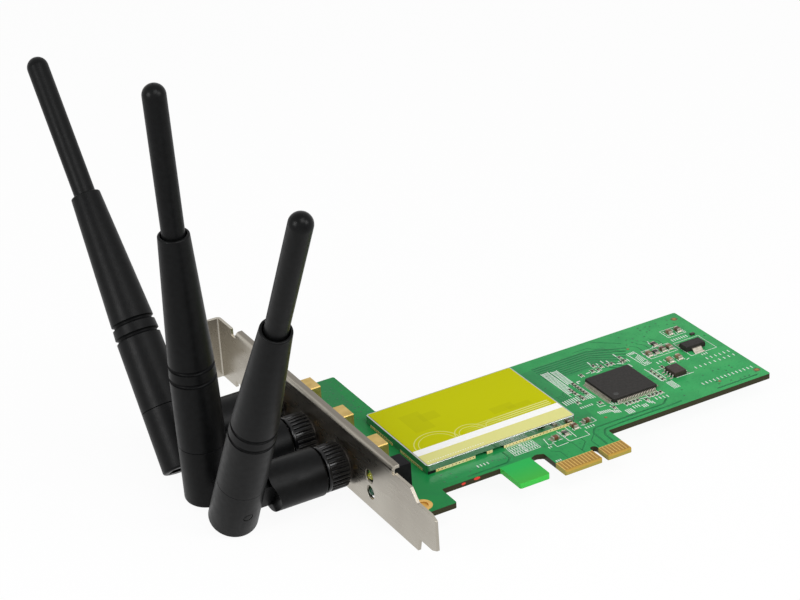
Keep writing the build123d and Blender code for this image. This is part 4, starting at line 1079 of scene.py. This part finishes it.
def black_moulding(name):
    """Satin black plastic with a fine grain, with its tree, its shader and its roughness."""
    material, tree, shader = finish(name, (0.0030, 0.0031, 0.0032), 0.40, specular=0.10)
    place = object_place(tree)
    patch = spread(tree, grain(tree, place, 700, 4), 0.3, 0.7)
    black = blend(tree, patch, (0.0021, 0.0022, 0.0023), (0.0040, 0.0042, 0.0044))
    tree.links.new(black, shader.inputs["Base Color"])
    rough = spread(tree, grain(tree, place, 500, 3), -1.5, 3.5)
    tree.links.new(rough, shader.inputs["Roughness"])
    roughen(tree, shader, grain(tree, place, 2600, 3), 0.016)
    return material, tree, shader, rough


antenna_black = black_moulding("satin_black_moulding")[0]
barrel_radius, scoop_radius, tongue_radius = 6.5, 9.4, 4.5
pin_hole, plug_radius, tongue_width, root_depth = 1.35, 3.0, 5.0, 8.0
horn_gap, horn_edge, near_edge = 0.4, 0.2, 0.5
right_through = 30
scoop_start, scoop_edge, scoop_drop = -19.7, 8.85, 13.0
scoop_outline = circle(scoop_radius, 150, scoop_start, 270)
scoop_outline += [(0, -scoop_drop), (scoop_edge, -scoop_drop)]
for i in antenna_numbers:
    pivot, pin, standing, mast_axis, mast_side = hinge_frame(i)
    near_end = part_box(f"hinge_barrel_{i}")[1].x / mm - pivot.x
    horn = math.sqrt(scoop_radius ** 2 - barrel_radius ** 2) + horn_gap
    profile = [(0, horn), (barrel_radius - horn_edge, horn)]
    profile += rounded(barrel_radius - horn_edge, horn + horn_edge, horn_edge, -90, 0, 4)
    profile += rounded(barrel_radius - near_edge, near_end - near_edge, near_edge, 0, 90, 5)
    profile += [(plug_radius, near_end), (0, near_end)]
    barrel = turned(profile, 96, pivot, inward, pin)
    barrel = cut(barrel, [slab(scoop_outline, right_through, pivot, inward, standing)])
    root = near_end - root_depth
    tongue_outline = circle(tongue_radius, 40, 90, 270) + [(root, -tongue_radius), (root, tongue_radius)]
    tongue = slab(tongue_outline, tongue_width, pivot, inward, standing)
    tongue = cut(tongue, [slab(circle(pin_hole, 40), right_through, pivot, inward, standing)])
    barrel.from_mesh(mesh_of("tongue", tongue))
    barrel_piece = new_piece(f"hinge_body_{i}", barrel, antenna_black, f"antenna_base_{i}")
    stands_for(barrel_piece, f"hinge_barrel_{i}")
    # Painted shade: the brass plug takes the darkened steel, so its collar reads dark between barrel and
    # nut.
    painted(f"antenna_plug_{i}", steel_painted_dark)


# Antenna masts: a tapered black sleeve forked round the tongue, with two ring grooves and a moulding seam.
# A round-tipped rod stands in its top, and a black pin through the fork is the hinge.
def mast_wall(height):
    """Radius of the sleeve at a height above the pin."""
    if height < grooves[0]:
        share = (height + mast_end) / (grooves[0] + mast_end)
        return mast_radius + share * (waist_radius - mast_radius)
    share = (height - grooves[0]) / (sleeve_top - grooves[0])
    return waist_radius + share * (top_radius - waist_radius)


def flush_pin(pivot, pin, mast_axis, mast_side, steps=40):
    """The hinge pin, with ends that follow the sleeve's round wall and a fine chamfer, in mm."""
    shape = bmesh.new()
    rings = []
    for radius, end, inset in ((0, -1, 0.05), (0.6, -1, 0.05), (1.12, -1, 0.05), (1.26, -1, 0.16),
                               (1.26, 1, 0.16), (1.12, 1, 0.05), (0.6, 1, 0.05), (0, 1, 0.05)):
        ring = []
        for k in range(steps if radius else 1):
            side = radius * math.cos(2 * math.pi * k / steps)
            rise = radius * math.sin(2 * math.pi * k / steps)
            reach = math.sqrt(mast_wall(rise) ** 2 - side ** 2) - inset
            point = pivot + mast_side * side + mast_axis * rise + pin * (end * reach)
            ring.append(shape.verts.new(point * mm))
        rings.append(ring if radius else ring * steps)
    joined(shape, rings)
    return shape


def wall_place(tree):
    """How far along its unrolled wall a point of a turned piece lies, in metres."""
    return axes_of(tree, node(tree, "ShaderNodeUVMap", uv_map="wrap").outputs[0])[1]


mast_end, sleeve_top, tip_height = 8.6, 70.0, 110.79
mast_radius, waist_radius, top_radius, rod_radius = 6.45, 6.05, 4.05, 2.95
foot_edge, top_edge, rim_depth, rod_start = 0.66, 0.4, 3.4, 4.2
socket_mouth, socket_radius, socket_lead = 3.42, 3.36, 0.1
grooves, groove_radius, groove_shade_share = (28.9, 32.6), 0.62, 0.55
seam_height, seam_half, seam_depth = 8.5, 0.11, 0.22
relief_radius, slot_reach, slot_width, pin_bore = 9.15, tongue_radius + 0.12, 5.24, 1.32
dimple_rim, dimple_floor, dimple_depth = 0.22, 0.12, 0.12
well_past = 20

tip_black, tree, shader, rough = black_moulding("satin_black_rod")
rod_run = tip_height - sleeve_top + rod_start
near_tip = spread(tree, wall_place(tree), (rod_run - 1.0) * mm, (rod_run + 3.0) * mm)
smooth_tip = math_of(tree, "SUBTRACT", rough, scaled(tree, near_tip, 0.14))
tree.links.new(smooth_tip, shader.inputs["Roughness"])

sleeve_black, tree, shader, rough = black_moulding("satin_black_sleeve")
wall_run = wall_place(tree)
gloss = shader.inputs["Specular IOR Level"].default_value
straight_run = mast_radius + mast_end + grooves[0] - 2 * foot_edge
groove_run = straight_run + foot_edge * math.pi / 2 + 2 * (seam_depth - seam_half)
groove_arc = math.pi * groove_radius
# Painted shade: the gloss is cut down inside each ring groove, so the grooves look dark as the shade in them
# would make them.
for k in range(2):
    start = groove_run - groove_radius + k * (grooves[1] - grooves[0] + groove_arc - 2 * groove_radius)
    entered = math_of(tree, "GREATER_THAN", wall_run, start * mm)
    left = math_of(tree, "LESS_THAN", wall_run, (start + groove_arc) * mm)
    shaded = spread(tree, wall_run, (start - 0.8) * mm, (start + 1.0) * mm)
    groove_shade = scaled(tree, scaled(tree, scaled(tree, entered, left), shaded), groove_shade_share)
    gloss = scaled(tree, gloss, math_of(tree, "SUBTRACT", 1.0, groove_shade))
tree.links.new(gloss, shader.inputs["Specular IOR Level"])

seam = mast_wall(seam_height)
sleeve_profile = [(0, -mast_end)]
sleeve_profile += rounded(mast_radius - foot_edge, foot_edge - mast_end, foot_edge, -90, 0)
sleeve_profile += [(seam, seam_height - seam_half), (seam - seam_depth, seam_height)]
sleeve_profile += [(seam, seam_height + seam_half)]
for groove in grooves:
    sleeve_profile += rounded(mast_wall(groove), groove, groove_radius, 270, 90, 10)
sleeve_profile += rounded(top_radius - top_edge, sleeve_top - top_edge, top_edge, 0, 90, 5)
sleeve_profile += [(socket_mouth, sleeve_top), (socket_radius, sleeve_top - socket_lead)]
sleeve_profile += [(socket_radius, sleeve_top - rim_depth), (0, sleeve_top - rim_depth)]
rod_profile = [(0, sleeve_top - rod_start), (rod_radius, sleeve_top - rod_start)]
rod_profile += rounded(0, tip_height - rod_radius, rod_radius, 0, 85, 12)
rod_profile += [(dimple_rim, tip_height - 0.01), (dimple_floor, tip_height - dimple_depth)]
rod_profile += [(0, tip_height - dimple_depth)]
slot_outline = [(-slot_reach, -well_past), (well_past, -well_past), (well_past, slot_reach)]
slot_outline += circle(slot_reach, 24, 90, 180)
relief_outline = circle(relief_radius, 60, -90, 0)
relief_outline += [(well_past, 0), (well_past, -well_past), (0, -well_past)]
for i in antenna_numbers:
    pivot, pin, standing, mast_axis, mast_side = hinge_frame(i)
    body = f"antenna_mast_{i}"
    sleeve = turned(sleeve_profile, 128, pivot, mast_axis, mast_side)
    cutters = [slab(slot_outline, slot_width, pivot, mast_side, mast_axis)]
    cutters.append(slab(circle(pin_bore, 40), right_through, pivot, mast_side, mast_axis))
    cutters.append(slab(relief_outline, right_through, pivot, mast_side, mast_axis))
    sleeve_piece = new_piece(f"mast_cover_{i}", cut(sleeve, cutters), sleeve_black, body)
    stands_for(sleeve_piece, f"mast_sleeve_{i}")
    rod = turned(rod_profile, 72, pivot, mast_axis, mast_side)
    stands_for(new_piece(f"mast_tube_{i}", rod, tip_black, body), f"mast_rod_{i}")
    rivet = flush_pin(pivot, pin, mast_axis, mast_side)
    stands_for(new_piece(f"hinge_rivet_{i}", rivet, antenna_black, body), f"hinge_pin_{i}")
    painted(f"radiator_{i}", gold)

# Studio: a plain white floor under the card, a white surround, three soft lamps and the photo's camera.
# The floor keeps a soft shadow, and the lamps stand left, in front and to the right as the gloss shows.
scene = bpy.context.scene
scene.view_settings.view_transform = "Standard"
half = 1.5
floor_z = cad_low.z - 0.0002
floor_mesh = bpy.data.meshes.new("floor")
floor_corners = [(x * half, y * half, floor_z) for x, y in ((-1, -1), (1, -1), (1, 1), (-1, 1))]
floor_mesh.from_pydata(floor_corners, [], [(0, 1, 2, 3)])
floor = placed("floor", floor_mesh)


def shown_rays(tree):
    """1 for the rays of the camera, of gloss and of glass, which see the plain white."""
    rays = node(tree, "ShaderNodeLightPath").outputs
    mirror = math_of(tree, "MAXIMUM", rays["Is Glossy Ray"], rays["Is Transmission Ray"])
    return math_of(tree, "MAXIMUM", rays["Is Camera Ray"], mirror)


floor_white = bpy.data.materials.new("floor_white")
floor_white.use_nodes = True
tree = floor_white.node_tree
tree.nodes.clear()
paint = node(tree, "ShaderNodeBsdfDiffuse", {"Color": (0.88, 0.88, 0.88, 1)}).outputs[0]
glow = node(tree, "ShaderNodeEmission", {"Color": (1, 1, 1, 1), "Strength": 1.0}).outputs[0]
share = scaled(tree, shown_rays(tree), 0.94)
laid = node(tree, "ShaderNodeMixShader", {0: share, 1: paint, 2: glow}).outputs[0]
under = node(tree, "ShaderNodeNewGeometry").outputs["Backfacing"]
clear = node(tree, "ShaderNodeBsdfTransparent").outputs[0]
one_sided = node(tree, "ShaderNodeMixShader", {0: under, 1: laid, 2: clear}).outputs[0]
node(tree, "ShaderNodeOutputMaterial", {0: one_sided})
floor_mesh.materials.append(floor_white)

world = bpy.data.worlds.new("studio")
scene.world = world
world.use_nodes = True
tree = world.node_tree
tree.nodes.clear()
soft = node(tree, "ShaderNodeBackground", {"Color": (1, 1, 1, 1), "Strength": 0.40}).outputs[0]
bright = node(tree, "ShaderNodeBackground", {"Color": (1, 1, 1, 1), "Strength": 1.0}).outputs[0]
sky = node(tree, "ShaderNodeMixShader", {0: shown_rays(tree), 1: soft, 2: bright}).outputs[0]
node(tree, "ShaderNodeOutputWorld", {0: sky})

middle = (cad_low + cad_high) / 2
for name, direction, distance, width, power in (
    ("left_lamp", (-0.90, -0.20, 0.38), 0.9, 0.35, 3.6),
    ("front_lamp", (-0.04, -0.65, 0.76), 0.9, 0.45, 3.4),
    ("right_lamp", (0.42, -0.79, 0.45), 1.0, 0.40, 3.6),
):
    light = bpy.data.lights.new(name, "AREA")
    light.size = width
    light.energy = power
    lamp = placed(name, light)
    away = Vector(direction).normalized()
    lamp.location = middle + away * distance
    lamp.rotation_euler = away.to_track_quat("Z", "Y").to_euler()

camera_place = Vector((-287.53, -434.73, 311.495)) * mm
azimuth, elevation, roll = [math.radians(angle) for angle in (-27.957, 26.758, -3.833)]
out_level = math.cos(elevation)
back = Vector((math.sin(azimuth) * out_level, -math.cos(azimuth) * out_level, math.sin(elevation)))
level = (-back).cross(Vector((0, 0, 1))).normalized()
upward = level.cross(-back)
right = level * math.cos(roll) + upward * math.sin(roll)
up = upward * math.cos(roll) - level * math.sin(roll)
camera_data = bpy.data.cameras.new("camera")
camera_data.sensor_width = 36.0
camera_data.lens = 105.583
camera_data.clip_start = 0.01
camera = placed("camera", camera_data)
camera.matrix_world = Matrix.Translation(camera_place) @ Matrix((right, up, back)).transposed().to_4x4()
scene.camera = camera
